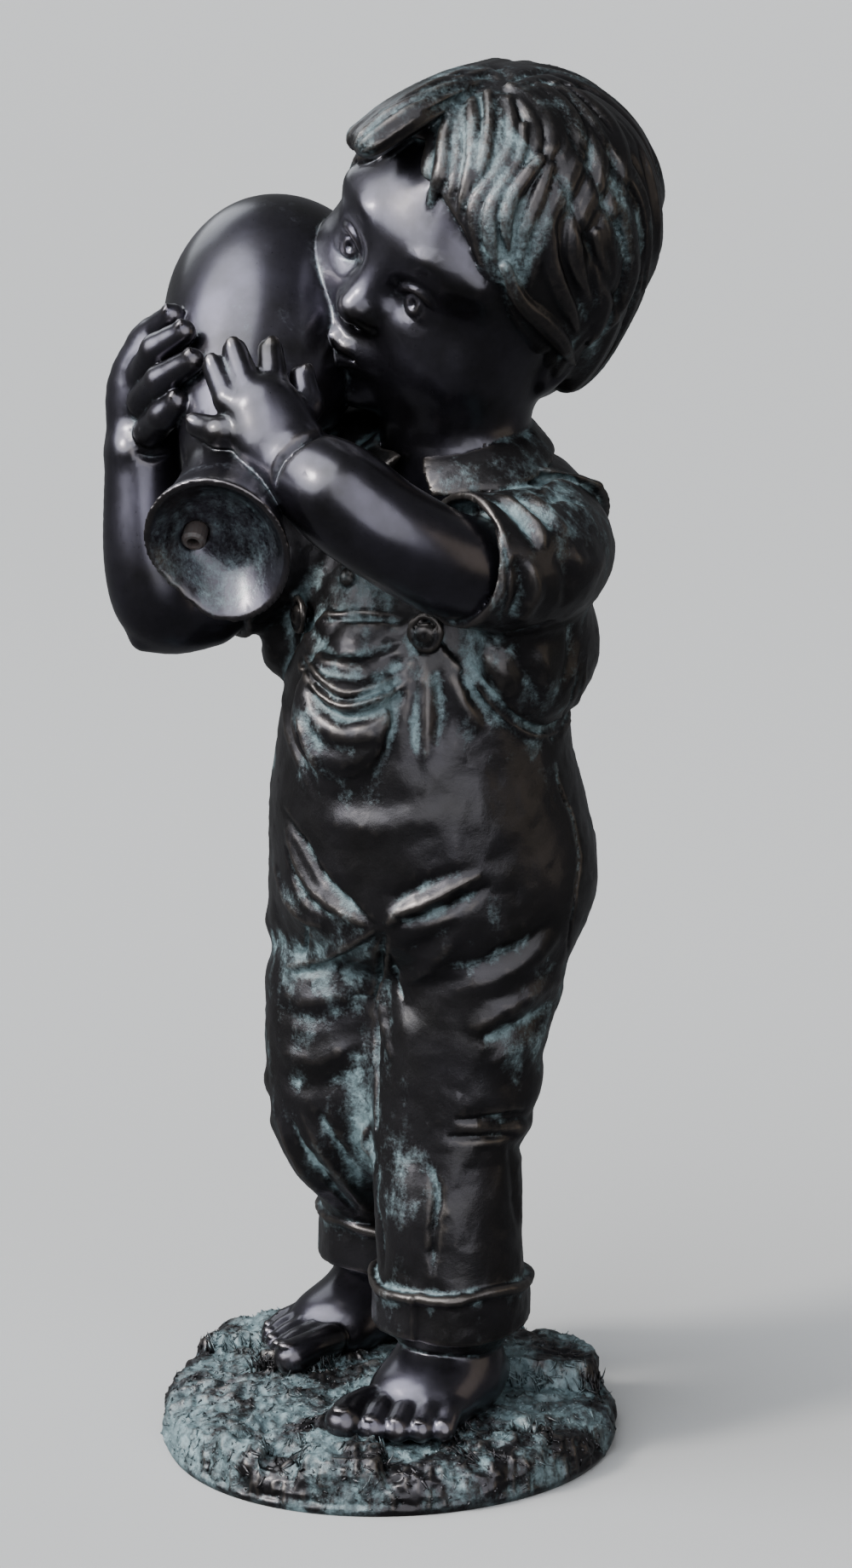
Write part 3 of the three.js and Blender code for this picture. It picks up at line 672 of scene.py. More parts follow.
def cuff_form(center, low, high, radius, lap, wave):
    """A rolled trouser cuff with a proud, wavy upper edge and one end lapped over the other."""

    def distance(x, y, z):
        dx, dy = x - center[0], y - center[1]
        angle = np.arctan2(dy, dx)
        past = np.mod(math.radians(lap) - angle, 2 * math.pi)
        lapped = 2.0 * step_up(0, 0.05, past) * (1 - step_up(1.2, 2.2, past))
        r = np.sqrt(dx * dx + dy * dy) - radius - lapped
        r = r - 0.9 * np.sin(3 * angle + 1) - 0.5 * np.sin(7 * angle)
        top = high + wave * np.sin(2 * angle + 0.6) + 0.8 * np.sin(5 * angle)
        foot = low + 1.2 * np.sin(3 * angle + 2)
        band = common(common(r, z - top, 3), foot - z, 4)
        roll = np.sqrt((r - 0.3) ** 2 + ((z - top + 2) * 0.9) ** 2) - 2.2
        return join(band, roll, 2.2)

    reach = np.array((radius + 8, radius + 8, 0))
    middle = np.array((*center, 0))
    return Form([(middle - reach + (0, 0, low - 4), middle + reach + (0, 0, high + 6), distance)])


def carve_leg(clay, leg):
    """A trouser leg with the rolls of cloth at the knee and its cuff."""
    clay.add(tube(leg["path"], leg["radii"], count=45), blend=16)
    for x, y, z, reach, thick, start, stop, blend in leg["rolls"]:
        turns = np.radians(np.linspace(start, stop, 9))
        around = np.stack([np.cos(turns), np.sin(turns)], axis=1) * reach + (x, y)
        line = np.c_[around, z + 5 * np.sin(turns * 2)]
        swell = np.sin(np.linspace(0.15, math.pi - 0.15, 9)) ** 0.7
        clay.add(tube(line, thick * swell, count=25), blend=blend)
    clay.add(cuff_form(**leg["cuff"]), blend=1.6)


def carve_foot(clay, ankle, heading, inner, length, **rest):
    """A bare foot: ankle, sole, toes and nails."""
    a = math.radians(heading)
    ahead = np.array((-math.sin(a), -math.cos(a), 0))
    inward = np.array((math.cos(a), -math.sin(a), 0)) * inner
    low = GROUND + rest["raise"]

    def spot(reach, side, z):
        return np.array((*ankle, low + z)) + ahead * reach * length + inward * side

    sole = [spot(-20, 0, 14), spot(10, 2, 18), spot(36, 5, 9)]
    clay.add(tube(sole, [23, 28, 29], flat=0.6, up=(0, 0, 1), count=11), blend=6)
    clay.add(tube([spot(0, 0, 60), spot(4, 0, 16)], [26, 27], count=3), blend=16)
    clay.add(ball(spot(30, 6, 18), (24, 23, 13)), blend=14)
    axes = np.stack([inward, ahead, (0, 0, 1)], axis=1)
    for side, reach, r in zip(TOE_SIDE, TOE_REACH, TOE_RADIUS):
        line = [spot(reach - 24, side * 0.86 + 1, 12), spot(reach - 10, side, 12), spot(reach, side, r * 0.9)]
        clay.add(tube(line, [r * 0.9, r * 0.9, r], count=9), blend=3.4)
        nail = spot(reach + r * 0.35, side, r * 1.72)
        clay.add(ball(nail, (r * 0.52, r * 0.5, r * 0.22), axes), blend=0.4)


def carve_arm(clay, cloth, arm):
    """A sleeve with an open hem, the arm out of it and the hand."""
    sleeve, radii = arm["sleeve"], arm["sleeve_radii"]
    cloth.add(tube(sleeve, radii, count=28), blend=12)
    before, hem = np.array(sleeve[-2], float), np.array(sleeve[-1], float)
    way = unit(hem - before)
    cloth.cut(drum(hem, hem + way * 60, radii[-1] + 14), blend=1)
    cloth.cut(drum(hem - way * HEM_DEPTH, hem + way * 9, radii[-1] - HEM_WALL), blend=1)
    cloth.add(hoop(hem - way * 1.6, way, radii[-1] - 0.9, HEM_ROLL), blend=0.8)
    clay.add(tube(arm["arm"], arm["arm_radii"], count=31), blend=8)
    if "elbow" in arm:
        clay.add(tube(arm["elbow"], arm["elbow_radii"], count=7), blend=7)
    clay.add(tube(arm["palm"], arm["palm_radii"], flat=0.72, up=(-0.2, -0.6, 0.75), count=9), blend=7)
    axis = unit(JUG_MOUTH - JUG_BELLY)
    for line, r in arm["fingers"]:
        clay.add(tube(line, r, count=9), blend=2.4)
        line = np.array(line, float)
        knuckle = line[1] + unit(line[1] - line.mean(0)) * 1.5
        clay.add(ball(knuckle, (r[1] * 0.95,) * 3), blend=3)
        tip, ahead = line[2], unit(line[2] - line[1])
        out = tip - JUG_BELLY - axis * ((tip - JUG_BELLY) @ axis)
        out = unit(out - ahead * (out @ ahead))
        turn = np.stack([np.cross(ahead, out), ahead, out], axis=1)
        nail = tip + out * r[2] * 0.86 + ahead * r[2] * 0.3
        clay.add(ball(nail, (r[2] * 0.55, r[2] * 0.6, r[2] * 0.24), turn), blend=0.4)


def jug_axes():
    """The jug's side, up and long axes."""
    axis = unit(JUG_MOUTH - JUG_BELLY)
    side = unit(np.cross((0, 0, 1), axis))
    return side, np.cross(axis, side), axis


def jug_form():
    """The turned jug, with its mouth tilted as a pouring lip."""
    outer = smooth_line(JUG_OUTER, 60)
    outer[0, 0] = 0
    profile = np.vstack([np.maximum(outer, (0, -99)), smooth_line(JUG_INNER, 24)])
    profile[-1, 0] = 0
    r = np.arange(0, JUG_OUT, JUG_CELL)
    s = np.arange(JUG_LOW, JUG_HIGH, JUG_CELL)
    rr, ss = np.meshgrid(r, s, indexing="ij")
    best = np.full(rr.shape, 1e9)
    wind = np.zeros(rr.shape, bool)
    for (ra, sa), (rb, sb) in zip(profile[:-1], profile[1:]):
        dr, ds = rb - ra, sb - sa
        t = np.clip(((rr - ra) * dr + (ss - sa) * ds) / max(dr * dr + ds * ds, 1e-9), 0, 1)
        best = np.minimum(best, np.hypot(rr - ra - t * dr, ss - sa - t * ds))
        crosses = (sa > ss) != (sb > ss)
        wind ^= crosses & (rr < ra + (ss - sa) * dr / (ds if ds else 1e-9))
    table = np.where(wind, -best, best)
    side, up, axis = jug_axes()
    last = JUG_OUTER[-1][1]

    def distance(x, y, z):
        x, y, z = x - JUG_BELLY[0], y - JUG_BELLY[1], z - JUG_BELLY[2]
        u, v, w = (x * e[0] + y * e[1] + z * e[2] for e in (side, up, axis))
        tilt = step_up(LIP_START, last, w + LIP_TILT * v * step_up(LIP_START, last, w))
        w = w + LIP_TILT * v * tilt
        v = v / (1 + (LIP_STRETCH - 1) * tilt)
        angle = np.degrees(np.arctan2(v, u))
        dent = 0
        for at, spread, depth in LIP_DENTS:
            off = (angle - at + 180) % 360 - 180
            dent = dent + depth * np.exp(-((off / spread) ** 2))
        i = np.clip(np.sqrt(u * u + v * v) / (1 - tilt * dent) / JUG_CELL, 0, len(r) - 1.001)
        j = np.clip((w - JUG_LOW) / JUG_CELL, 0, len(s) - 1.001)
        a, b = i.astype(int), j.astype(int)
        f, g = i - a, j - b
        low = table[a, b] * (1 - f) + table[a + 1, b] * f
        high = table[a, b + 1] * (1 - f) + table[a + 1, b + 1] * f
        return low * (1 - g) + high * g

    ends = np.array([JUG_BELLY - axis * 60, JUG_BELLY + axis * 205])
    return Form([(ends.min(0) - 48, ends.max(0) + 48, distance)])


def jug_spot(u, v, w):
    """A point in the jug's frame."""
    side, up, axis = jug_axes()
    return JUG_BELLY + side * u + up * v + axis * w


def carve_face(clay):
    """A calm child's face on plain proportions, with the ear and neck."""
    for at, radii, blend in (
        (SKULL_AT, SKULL_RADII, 0),
        ((0, -14, -22), (62, 57, 64), 20),
        ((32, -36, -38), (30, 28, 29), 16),
        ((-32, -36, -38), (30, 28, 29), 16),
        ((0, -52, -68), (18, 14, 12), 13),
        ((0, -52, 16), (48, 14, 12), 16),
        ((6, 28, -40), (50, 40, 34), 14),
    ):
        clay.add(head_ball(at, radii), blend=blend)
    for s in (1, -1):
        clay.cut(head_ball((s * 24, -72, -6), (15, 8.5, 9)), blend=8)
        clay.add(head_ball((s * 24, -55, -7), (14, 11, 11.5)), blend=1.5)
    clay.add(head_tube([(0, -63, 2), (0, -67, -12), (0, -71, -22)], [5.5, 6.5, 8]), blend=10)
    clay.add(head_ball((0, -73.5, -24), (8.5, 7.5, 6.8)), blend=6)
    for s in (1, -1):
        clay.add(head_ball((s * 8, -69, -26), (5.4, 6, 4.8)), blend=4)
        clay.cut(head_ball((s * 4.6, -73, -30.5), (2.4, 3.2, 1.8)), blend=1.6)
    clay.add(head_ball((0, -64, -45), (19, 9, 10)), blend=9)
    for s in (1, -1):
        lip = [(s * 15, -64, -47), (s * 5.5, -72, -43.5), (0, -71.5, -44.8)]
        clay.add(head_tube(lip, [1.4, 3.4, 3.2]), blend=2.5)
    lip = [(-13, -64.5, -48.5), (0, -70.5, -52), (13, -64.5, -48.5)]
    clay.add(head_tube(lip, [1.4, 4.4, 1.4]), blend=2.5)
    parting = [(-17, -65, -46.6), (0, -75.5, -48), (17, -65, -46.6)]
    clay.cut(head_tube(parting, [0.8, 1.2, 0.8], count=13), blend=1.2)
    for s in (1, -1):
        upper = [(s * 11, -62.5, -9), (s * 17, -66, 0), (s * 27, -65, 2), (s * 38, -56.5, -6)]
        lower = [(s * 11, -62.5, -9), (s * 18, -65, -14.5), (s * 27, -63.5, -15), (s * 38, -56.5, -6)]
        clay.add(head_tube(upper, [1.4, 2.7, 2.7, 1.4], count=15), blend=1.2)
        clay.add(head_tube(lower, [1.2, 2.0, 2.0, 1.2], count=15), blend=1.2)
        crease = [(s * 13, -63, -1), (s * 19, -65, 6.5), (s * 28, -63, 7.5), (s * 37, -56, 2)]
        clay.cut(head_tube(crease, [0.5, 1.0, 1.0, 0.5], count=13), blend=1.8)
        ring = [
            (s * 23 + 6 * math.cos(a), -66.2 + 0.8 * abs(math.cos(a)), -6.4 + 6 * math.sin(a))
            for a in np.linspace(0, 2 * math.pi, 13)
        ]
        clay.cut(head_tube(ring, [1.0] * 13, count=25), blend=0.5)
        clay.cut(head_ball((s * 23, -67.0, -6), (2.8, 3.2, 2.8)), blend=0.6)
        brow = [(s * 10, -65, 13), (s * 22, -67, 18), (s * 38, -57, 15)]
        clay.add(head_tube(brow, [2, 2.6, 1.4], count=11), blend=6)
    for s in (1, -1):
        clay.add(head_ball((s * 63, 6, -20), (7, 12, 18)), blend=3)
        clay.cut(head_ball((s * 70, 3, -18), (5, 7, 11)), blend=3)
    clay.add(tube([(37, 0, 530), (37, -3, 566), (42, 0, 604)], [44, 39, 42], count=9), blend=12)


def hairline(angle):
    """The height of the hairline at an angle round the head from the face."""
    middle, front, sides = HAIRLINE
    at, spread, rise = BARE_BROW
    bare = rise * np.exp(-(((np.degrees(angle) - at) / spread) ** 2))
    return middle + front * np.cos(angle) + sides * np.cos(2 * angle) + bare


def combed(u, v, w):
    """The place down and round the crown of a direction of the head, and the swell of the lock there."""
    crown = unit(CROWN)
    ahead = unit(np.array((0.0, -1.0, 0.0)) + crown * crown[1])
    size = np.sqrt(u * u + v * v + w * w) + 1e-6
    axes = crown, ahead, np.cross(crown, ahead)
    up, front, left = ((u * e[0] + v * e[1] + w * e[2]) / size for e in axes)
    down = np.arccos(np.clip(up, -1, 1))
    turn = np.arctan2(left, front)
    sway = turn + 0.14 * np.sin(2.8 * down + 1.7 * np.sin(2 * turn)) + 0.05 * np.sin(5 * turn + 6 * down)
    lock = sway * LOCK_COUNT / (2 * np.pi) + 0.35 * np.sin(3 * turn + 1)
    swell = 1 - np.abs(2 * (lock - np.floor(lock)) - 1) ** 2.2
    strands = np.sin(6 * np.pi * lock + 4 * np.sin(2 * turn) + 3 * down)
    return down, lock, swell, strands


def hair_cap(combing):
    """Close hair cut along the hairline, with its combed locks as deep as asked."""
    at, radii = on_head(SKULL_AT), (SKULL_RADII + 6) * HEAD_SIZE

    def distance(x, y, z):
        x, y, z = x - at[0], y - at[1], z - at[2]
        terms = [x * HEAD_TURN[0, i] + y * HEAD_TURN[1, i] + z * HEAD_TURN[2, i] for i in range(3)]
        down, _, swell, strands = combed(*terms)
        size = np.sqrt(sum(t * t for t in terms)) + 1e-6
        away = np.maximum(step_up(-0.35, 0.15, terms[1] / size), step_up(0.1, 0.5, -terms[0] / size))
        rise = step_up(0.1, 0.7, down) * (LOCK_RISE * (swell - 0.6) + STRAND_RISE * strands) * away * combing
        for way, swollen, spread in HAIR_SWELLS:
            off = np.arccos(np.clip(sum(t * e for t, e in zip(terms, unit(way))) / size, -1, 1))
            rise = rise + swollen * np.exp(-((off / spread) ** 2))
        shell = ellipse_distance(terms, radii) - rise
        u, v, w = (t / HEAD_SIZE + c for t, c in zip(terms, SKULL_AT))
        below = (hairline(np.arctan2(u, -v)) + 6 - 7 * swell - w) * HEAD_SIZE
        return common(shell, below * 0.8, 5)

    reach = np.abs(HEAD_TURN) @ (radii + LOCK_RISE + HAIR_SWELLS[0][1])
    return Form([(at - reach, at + reach, distance)])


# The locks that show in the picture: how proud they are, half widths and places by pixel.
FRINGE = [
    (4.4, [3, 4, 4.6, 4, 1], [(538, 120), (523, 156), (521, 186), (514, 218), (502, 244)]),
    (3.0, [3, 3.7, 3.7, 3.1, 1], [(544, 120), (538, 154), (537, 186), (532, 218), (526, 235)]),
    (4.6, [3, 4.4, 4.4, 3.3, 1], [(553, 118), (556, 151), (555, 189), (546, 224), (540, 249)]),
    (6.0, [3, 3.1, 3.7, 2.8, 0.8], [(573, 113), (575, 139), (571, 177), (563, 206), (553, 225)]),
    (3.2, [3, 3.3, 3.5, 2.8, 1], [(586, 116), (588, 148), (585, 177), (575, 200), (567, 218)]),
    (4.2, [3, 3.5, 3.7, 4, 4, 3.1, 0.8],
     [(596, 118), (602, 154), (595, 186), (575, 215), (558, 238), (556, 265), (565, 309)]),
    (5.6, [3, 3.1, 3.7, 4.4, 4.4, 1],
     [(614, 151), (611, 183), (593, 215), (576, 244), (574, 275), (583, 313)]),
    (7.0, [3.2, 4.2, 4.4, 3.7, 1], [(632, 189), (614, 212), (599, 235), (593, 262), (597, 294)]),
    (3.4, [4, 5.2, 5.8, 5, 1.2], [(601, 104), (623, 118), (643, 142), (648, 165), (638, 197)]),
    (3.4, [3, 3.8, 4, 3.6, 1], [(602, 110), (620, 134), (628, 158), (626, 180), (616, 204)]),
    (3.4, [3, 4.2, 4.2, 3.6, 1], [(644, 196), (634, 224), (624, 250), (613, 278), (611, 310)]),
    (2.6, [4, 5, 5.6, 5, 1.4], [(617, 104), (645, 124), (661, 148), (663, 174), (652, 200)]),
    (3.0, [4, 5.4, 6.8, 7, 6.4, 4.8, 1.2],
     [(634, 102), (668, 130), (678, 171), (665, 212), (645, 247), (631, 288), (622, 338)]),
    (3.2, [4, 5.4, 6.8, 7.2, 6.6, 5.2, 1.2],
     [(652, 102), (690, 139), (703, 183), (696, 224), (675, 265), (675, 309), (693, 352)]),
    (3.2, [4, 5.6, 5.6, 3.8, 1.2], [(643, 262), (645, 303), (658, 341), (670, 367), (679, 393)]),
    (4.6, [3.4, 4.2, 5.6, 5, 1.2], [(593, 314), (610, 352), (634, 375), (656, 398), (674, 427)]),
    (2.6, [4, 5.8, 7, 7, 6, 1.4], [(672, 104), (713, 139), (732, 183), (726, 224), (710, 265), (721, 311)]),
    (3.0, [4, 6.2, 7.2, 6.2, 1.4], [(728, 241), (738, 282), (743, 317), (732, 352), (710, 390)]),
    (2.8, [4, 5.8, 6.8, 6, 1.4], [(699, 276), (705, 311), (710, 347), (705, 376), (690, 405)]),
]
FLIP = [
    ([(60, 2, 740), (36, -34, 737), (14, -55, 727), (-5, -63, 714)], [12, 12, 13, 11.5]),
    ([(56, 6, 742), (30, -22, 736), (7, -42, 725), (-10, -49, 715)], [12, 12.5, 12.5, 10]),
]


def carve_fringe(clay, below):
    """The flip over the brow, and locks laid on what is below along lines of the picture."""
    for points, radii in FLIP:
        clay.add(tube(points, radii, flat=0.72, up=(-0.35, -0.25, 0.9), count=17, strands=(9, 0.05)), blend=5)
    middle = on_head(SKULL_AT)
    for proud, half, places in FRINGE:
        line, found, _ = laid(below, front_rays, np.asarray(places, float))
        r = smooth_line(np.array(half)[:, None], len(found))[found]
        for _ in range(4):
            line[1:-1] = (line[:-2] + 2 * line[1:-1] + line[2:]) / 4
        out = line - middle
        out /= np.linalg.norm(out, axis=1)[:, None]
        flat = 0.22 + proud / 8
        line = line + out * (proud * np.minimum(1, r / 4) - r * flat)
        clay.add(tube(line, r[:, 0], flat=flat, up=out, count=len(line), strands=(9, 0.05)), blend=0.8)


HAIR_STROKES = [
    (2.4, -1.7, [(588, 99), (566, 88), (530, 86), (490, 97)]),
    (2.4, -1.6, [(592, 96), (590, 84), (575, 77)]),
    (2.4, -1.7, [(598, 97), (622, 86), (655, 84)]),
    (2.4, -1.7, [(604, 101), (640, 96), (684, 102), (722, 124)]),
    (2.4, -1.5, [(700, 100), (738, 128), (764, 168), (775, 214)]),
    (2.4, -1.8, [(582, 101), (526, 104), (476, 121), (421, 162)]),
    (2.4, -1.8, [(570, 107), (538, 116), (482, 139), (440, 168)]),
    (2.2, -1.5, [(575, 90), (520, 95), (470, 115), (430, 145)]),
    (2.6, -1.5, [(628, 107), (658, 130), (669, 156), (687, 192), (702, 224)]),
    (2.6, -1.6, [(658, 104), (684, 133), (707, 165), (725, 206), (731, 247)]),
    (2.6, -1.5, [(678, 101), (716, 127), (748, 165), (760, 212), (769, 265)]),
    (2.6, -1.6, [(672, 150), (694, 190), (706, 232), (726, 275), (740, 320)]),
    (2.6, -1.6, [(716, 171), (734, 212), (754, 253), (757, 323), (748, 352)]),
    (2.6, -1.7, [(655, 200), (672, 241), (690, 282), (710, 323)]),
    (2.6, -1.7, [(655, 290), (672, 338), (694, 386)]),
    (2.6, -1.6, [(675, 259), (696, 303), (725, 352), (731, 379)]),
]

# Strokes in the picture, by pixel: width, height, then the places. A negative height is a groove.
FRONT_STROKES = [
    # bib and its folds
    (2.2, 1.6, [(378, 722), (426, 720), (479, 725)]),
    (2.0, -2.0, [(380, 728), (426, 727), (477, 731)]),
    (4, -1.8, [(360, 729), (380, 759), (416, 769), (479, 750)]),
    (5, 1.6, [(350, 735), (373, 769), (416, 780), (481, 765)]),
    (3.5, -1.3, [(353, 752), (380, 788), (426, 795), (481, 779)]),
    (4, 1.2, [(376, 798), (423, 807), (479, 788)]),
    # the pocket's rim
    (3.6, -3.6, [(355, 787), (371, 820), (403, 842), (443, 835), (477, 813)]),
    (2.4, 3.6, [(350, 775), (366, 807), (400, 829), (439, 822), (476, 802)]),
    (1.4, -2.2, [(353, 770), (370, 799), (401, 821), (437, 814), (473, 794)]),
    (2.0, 2.0, [(356, 765), (374, 792), (403, 813), (434, 808), (471, 788)]),
    # under the pocket
    (6, 1.8, [(355, 825), (373, 851), (406, 866), (440, 860)]),
    (5, -1.8, [(356, 842), (376, 868), (409, 880), (446, 872)]),
    (4, 2.6, [(350, 838), (360, 875), (380, 911)]),
    (3.5, -2.6, [(341, 832), (353, 878), (375, 921)]),
    (4, 2.2, [(332, 812), (341, 861), (363, 924)]),
    (5, 2.0, [(481, 775), (474, 838), (466, 895)]),
    (2.4, -1.4, [(490, 779), (486, 845), (489, 891)]),
    (4.5, 2.2, [(500, 772), (501, 838), (499, 898)]),
    (4, -2.4, [(513, 785), (516, 838), (512, 878)]),
    (5, 2.4, [(529, 788), (544, 825), (562, 858)]),
    (4, -2.0, [(539, 785), (555, 818), (575, 851)]),
    (8, -1.6, [(386, 928), (439, 941), (499, 934)]),
    (8, 1.6, [(380, 958), (439, 971), (512, 961)]),
    # armhole edge and the shirt over it
    (2.0, 1.8, [(532, 762), (562, 807), (603, 851), (633, 864), (662, 852), (678, 825), (691, 765)]),
    (1.8, -2.2, [(537, 757), (567, 800), (607, 843), (634, 855), (658, 845), (671, 818), (685, 762)]),
    (8, 3.0, [(618, 745), (635, 779), (645, 812)]),
    (6, -2.8, [(599, 755), (615, 788), (632, 832)]),
    (6, 2.4, [(565, 762), (582, 785), (599, 818)]),
    (5, -2.4, [(668, 732), (671, 772), (658, 812)]),
    # left sleeve
    (1.3, -1.5, [(549, 580), (567, 598), (586, 626), (596, 666), (593, 706), (582, 732)]),
    (3.5, -3.0, [(565, 580), (595, 594), (618, 619), (627, 646)]),
    (4, 2.6, [(579, 578), (608, 594), (632, 619), (638, 646)]),
    (3.5, -2.8, [(602, 576), (628, 601), (652, 626)]),
    (4, 2.4, [(615, 575), (645, 603), (671, 629)]),
    (3, -2.6, [(628, 571), (652, 560), (681, 567)]),
    (3.5, 2.4, [(632, 580), (655, 568), (685, 576)]),
    (3, -2.2, [(638, 589), (662, 583), (691, 596)]),
    (4.5, -3.0, [(603, 652), (612, 686), (600, 725)]),
    (5, 3.0, [(620, 659), (628, 692), (613, 729)]),
    (5, -2.4, [(652, 646), (668, 679), (662, 712)]),
    (6, 2.2, [(668, 639), (691, 666), (711, 659)]),
    (4, -2.6, [(582, 744), (615, 742), (652, 729)]),
    # side seam
    (1.1, -2.2,
     [(650, 893), (655, 920), (670, 956), (678, 989), (680, 1016), (673, 1062), (666, 1115), (663, 1155)]),
    # crotch
    (5, -2.2, [(459, 1059), (492, 1042), (539, 1019)]),
    (4, 4.8, [(455, 1074), (486, 1064), (519, 1047), (565, 1025)]),
    (3.6, -3.8, [(469, 1085), (506, 1074), (542, 1059), (575, 1037)]),
    (3, 2.6, [(454, 1086), (461, 1079), (470, 1081)]),
    (4, 3.8, [(335, 1135), (366, 1127), (403, 1112), (443, 1090)]),
    (4, -3.2, [(343, 1144), (376, 1134), (413, 1119), (447, 1097)]),
    (2.4, -5.6, [(452, 1092), (446, 1138), (442, 1188), (442, 1245), (443, 1328)]),
    (4.5, 3.0, [(451, 1122), (449, 1162), (452, 1201), (461, 1245)]),
    (1.6, -2.6, [(456, 1117), (466, 1148), (476, 1180)]),
    # pleats at the child's right hip
    (3.2, -3.0, [(330, 946), (356, 989), (380, 1029), (413, 1062), (443, 1087)]),
    (3.6, 2.8, [(335, 969), (351, 1016), (370, 1046), (403, 1072), (436, 1089)]),
    (3, -2.8, [(335, 989), (346, 1032), (363, 1059), (393, 1077)]),
    (3.5, 2.4, [(323, 1016), (333, 1049), (353, 1075), (380, 1089)]),
    (1.4, -2.0, [(361, 1080), (360, 1105), (357, 1137)]),
    # thighs
    (6, 3.2, [(466, 1157), (499, 1137), (534, 1105)]),
    (5, -2.4, [(476, 1115), (506, 1102), (539, 1082)]),
    (6, -3.0, [(525, 1137), (572, 1127), (612, 1109), (648, 1080)]),
    (7, 2.6, [(532, 1162), (579, 1148), (625, 1122), (658, 1095)]),
    (6, 3.0, [(549, 1211), (598, 1182), (660, 1147)]),
    (5, -2.8, [(565, 1223), (612, 1201), (661, 1170)]),
    (5, 2.2, [(572, 1248), (612, 1228), (651, 1201)]),
    (9, 2.2, [(472, 1182), (479, 1228), (479, 1288)]),
    (4, -3.0, [(562, 1319), (595, 1317), (635, 1308)]),
    (6, 2.0, [(330, 1162), (366, 1175), (426, 1162)]),
    (6, -2.0, [(326, 1182), (366, 1195), (429, 1182)]),
    (6, 2.0, [(323, 1228), (366, 1245), (426, 1221)]),
    (6, -2.0, [(326, 1261), (366, 1274), (429, 1258)]),
    # below the knees
    (4, 3.0, [(326, 1309), (344, 1353), (373, 1393), (406, 1425)]),
    (3.4, -3.0, [(341, 1313), (359, 1353), (388, 1389), (421, 1425)]),
    (3.4, 2.4, [(352, 1302), (377, 1349), (410, 1393), (431, 1422)]),
    (3, -2.4, [(373, 1302), (395, 1342), (424, 1382)]),
    (5, 5.0, [(433, 1320), (433, 1338), (439, 1358)]),
    (2.6, -3.4, [(503, 1365), (514, 1400), (511, 1436), (507, 1498)]),
    (3, -2.0, [(446, 1371), (442, 1407), (448, 1454), (450, 1491)]),
    (12, 2.6, [(475, 1364), (483, 1407), (480, 1454), (479, 1494)]),
    (2.4, -3.0, [(533, 1314), (569, 1313), (617, 1305)]),
    (2.4, -3.0, [(526, 1334), (569, 1334), (618, 1331)]),
    (4, -1.4, [(598, 1338), (602, 1389), (608, 1440)]),
    # wrists
    (2.6, -4.0, [(322, 572), (329, 543), (360, 514), (402, 506)]),
    (13, 1.8, [(352, 604), (374, 576), (406, 552), (440, 544)]),
    (2.2, -2.4, [(158, 531), (178, 536), (200, 531)]),
    (8, 1.4, [(128, 512), (142, 524), (160, 534)]),
]
BACK_STROKES = [
    (9, -4.0, [(26, 330), (28, 300), (14, 272)]),
    (8, 3.0, [(75, 300), (50, 286), (25, 280)]),
    (8, -2.6, [(85, 280), (55, 268), (30, 266)]),
    (8, 3.0, [(-30, 300), (-10, 284), (15, 278)]),
    (7, -2.4, [(-45, 276), (-20, 262), (8, 262)]),
    (8, 2.6, [(10, 190), (35, 180), (62, 186)]),
    (7, -2.4, [(8, 178), (35, 168), (64, 174)]),
    (7, 2.4, [(-50, 200), (-20, 188), (5, 192)]),
    (7, -2.2, [(-50, 186), (-20, 174), (8, 180)]),
    (7, 2.0, [(5, 150), (35, 142), (66, 150)]),
    (8, -2.2, [(-20, 400), (20, 385), (70, 396)]),
    (8, 2.0, [(-25, 385), (20, 368), (75, 380)]),
    (8, -2.4, [(-10, 480), (0, 500), (25, 520)]),
    (8, 2.4, [(90, 470), (85, 495), (70, 520)]),
    (7, -2.2, [(100, 460), (97, 490), (85, 515)]),
    (2, -1.8, [(26, 452), (27, 400), (26, 340)]),
]
LEFT_STROKES = [
    (8, 2.6, [(-20, 250), (10, 262), (40, 280)]),
    (8, -2.4, [(-20, 236), (10, 250), (45, 266)]),
    (7, 2.4, [(-45, 190), (-15, 184), (10, 190)]),
    (6, -2.2, [(-45, 178), (-15, 172), (12, 178)]),
    (8, 2.2, [(20, 440), (45, 420), (70, 425)]),
    (2, -1.6, [(30, 395), (25, 330), (5, 260), (-12, 180), (-20, 110)]),
]
RIGHT_STROKES = [
    (8, 2.8, [(0, 300), (30, 285), (60, 290)]),
    (8, -2.4, [(0, 284), (30, 270), (62, 276)]),
    (7, 2.4, [(20, 200), (45, 190), (65, 200)]),
    (7, -2.2, [(20, 186), (45, 176), (70, 186)]),
    (8, 2.4, [(0, 440), (30, 430), (60, 445)]),
    (8, -2.2, [(0, 420), (30, 408), (62, 420)]),
    (7, -2.2, [(5, 500), (20, 480), (40, 470)]),
    (2, -1.6, [(30, 395), (34, 330), (34, 260), (46, 180), (80, 110)]),
]


# The straps' line over the shoulder: degrees from the front and height.
STRAP = [(170, 446), (160, 480), (140, 505), (104, 530), (70, 540)]
# Where the strap buttons sit round the trunk, and the shirt buttons with their heights.
BUTTON_ANGLES = {1: 25, -1: -38}
SHIRT_BUTTONS = [(-16, 485), (-13, 511)]


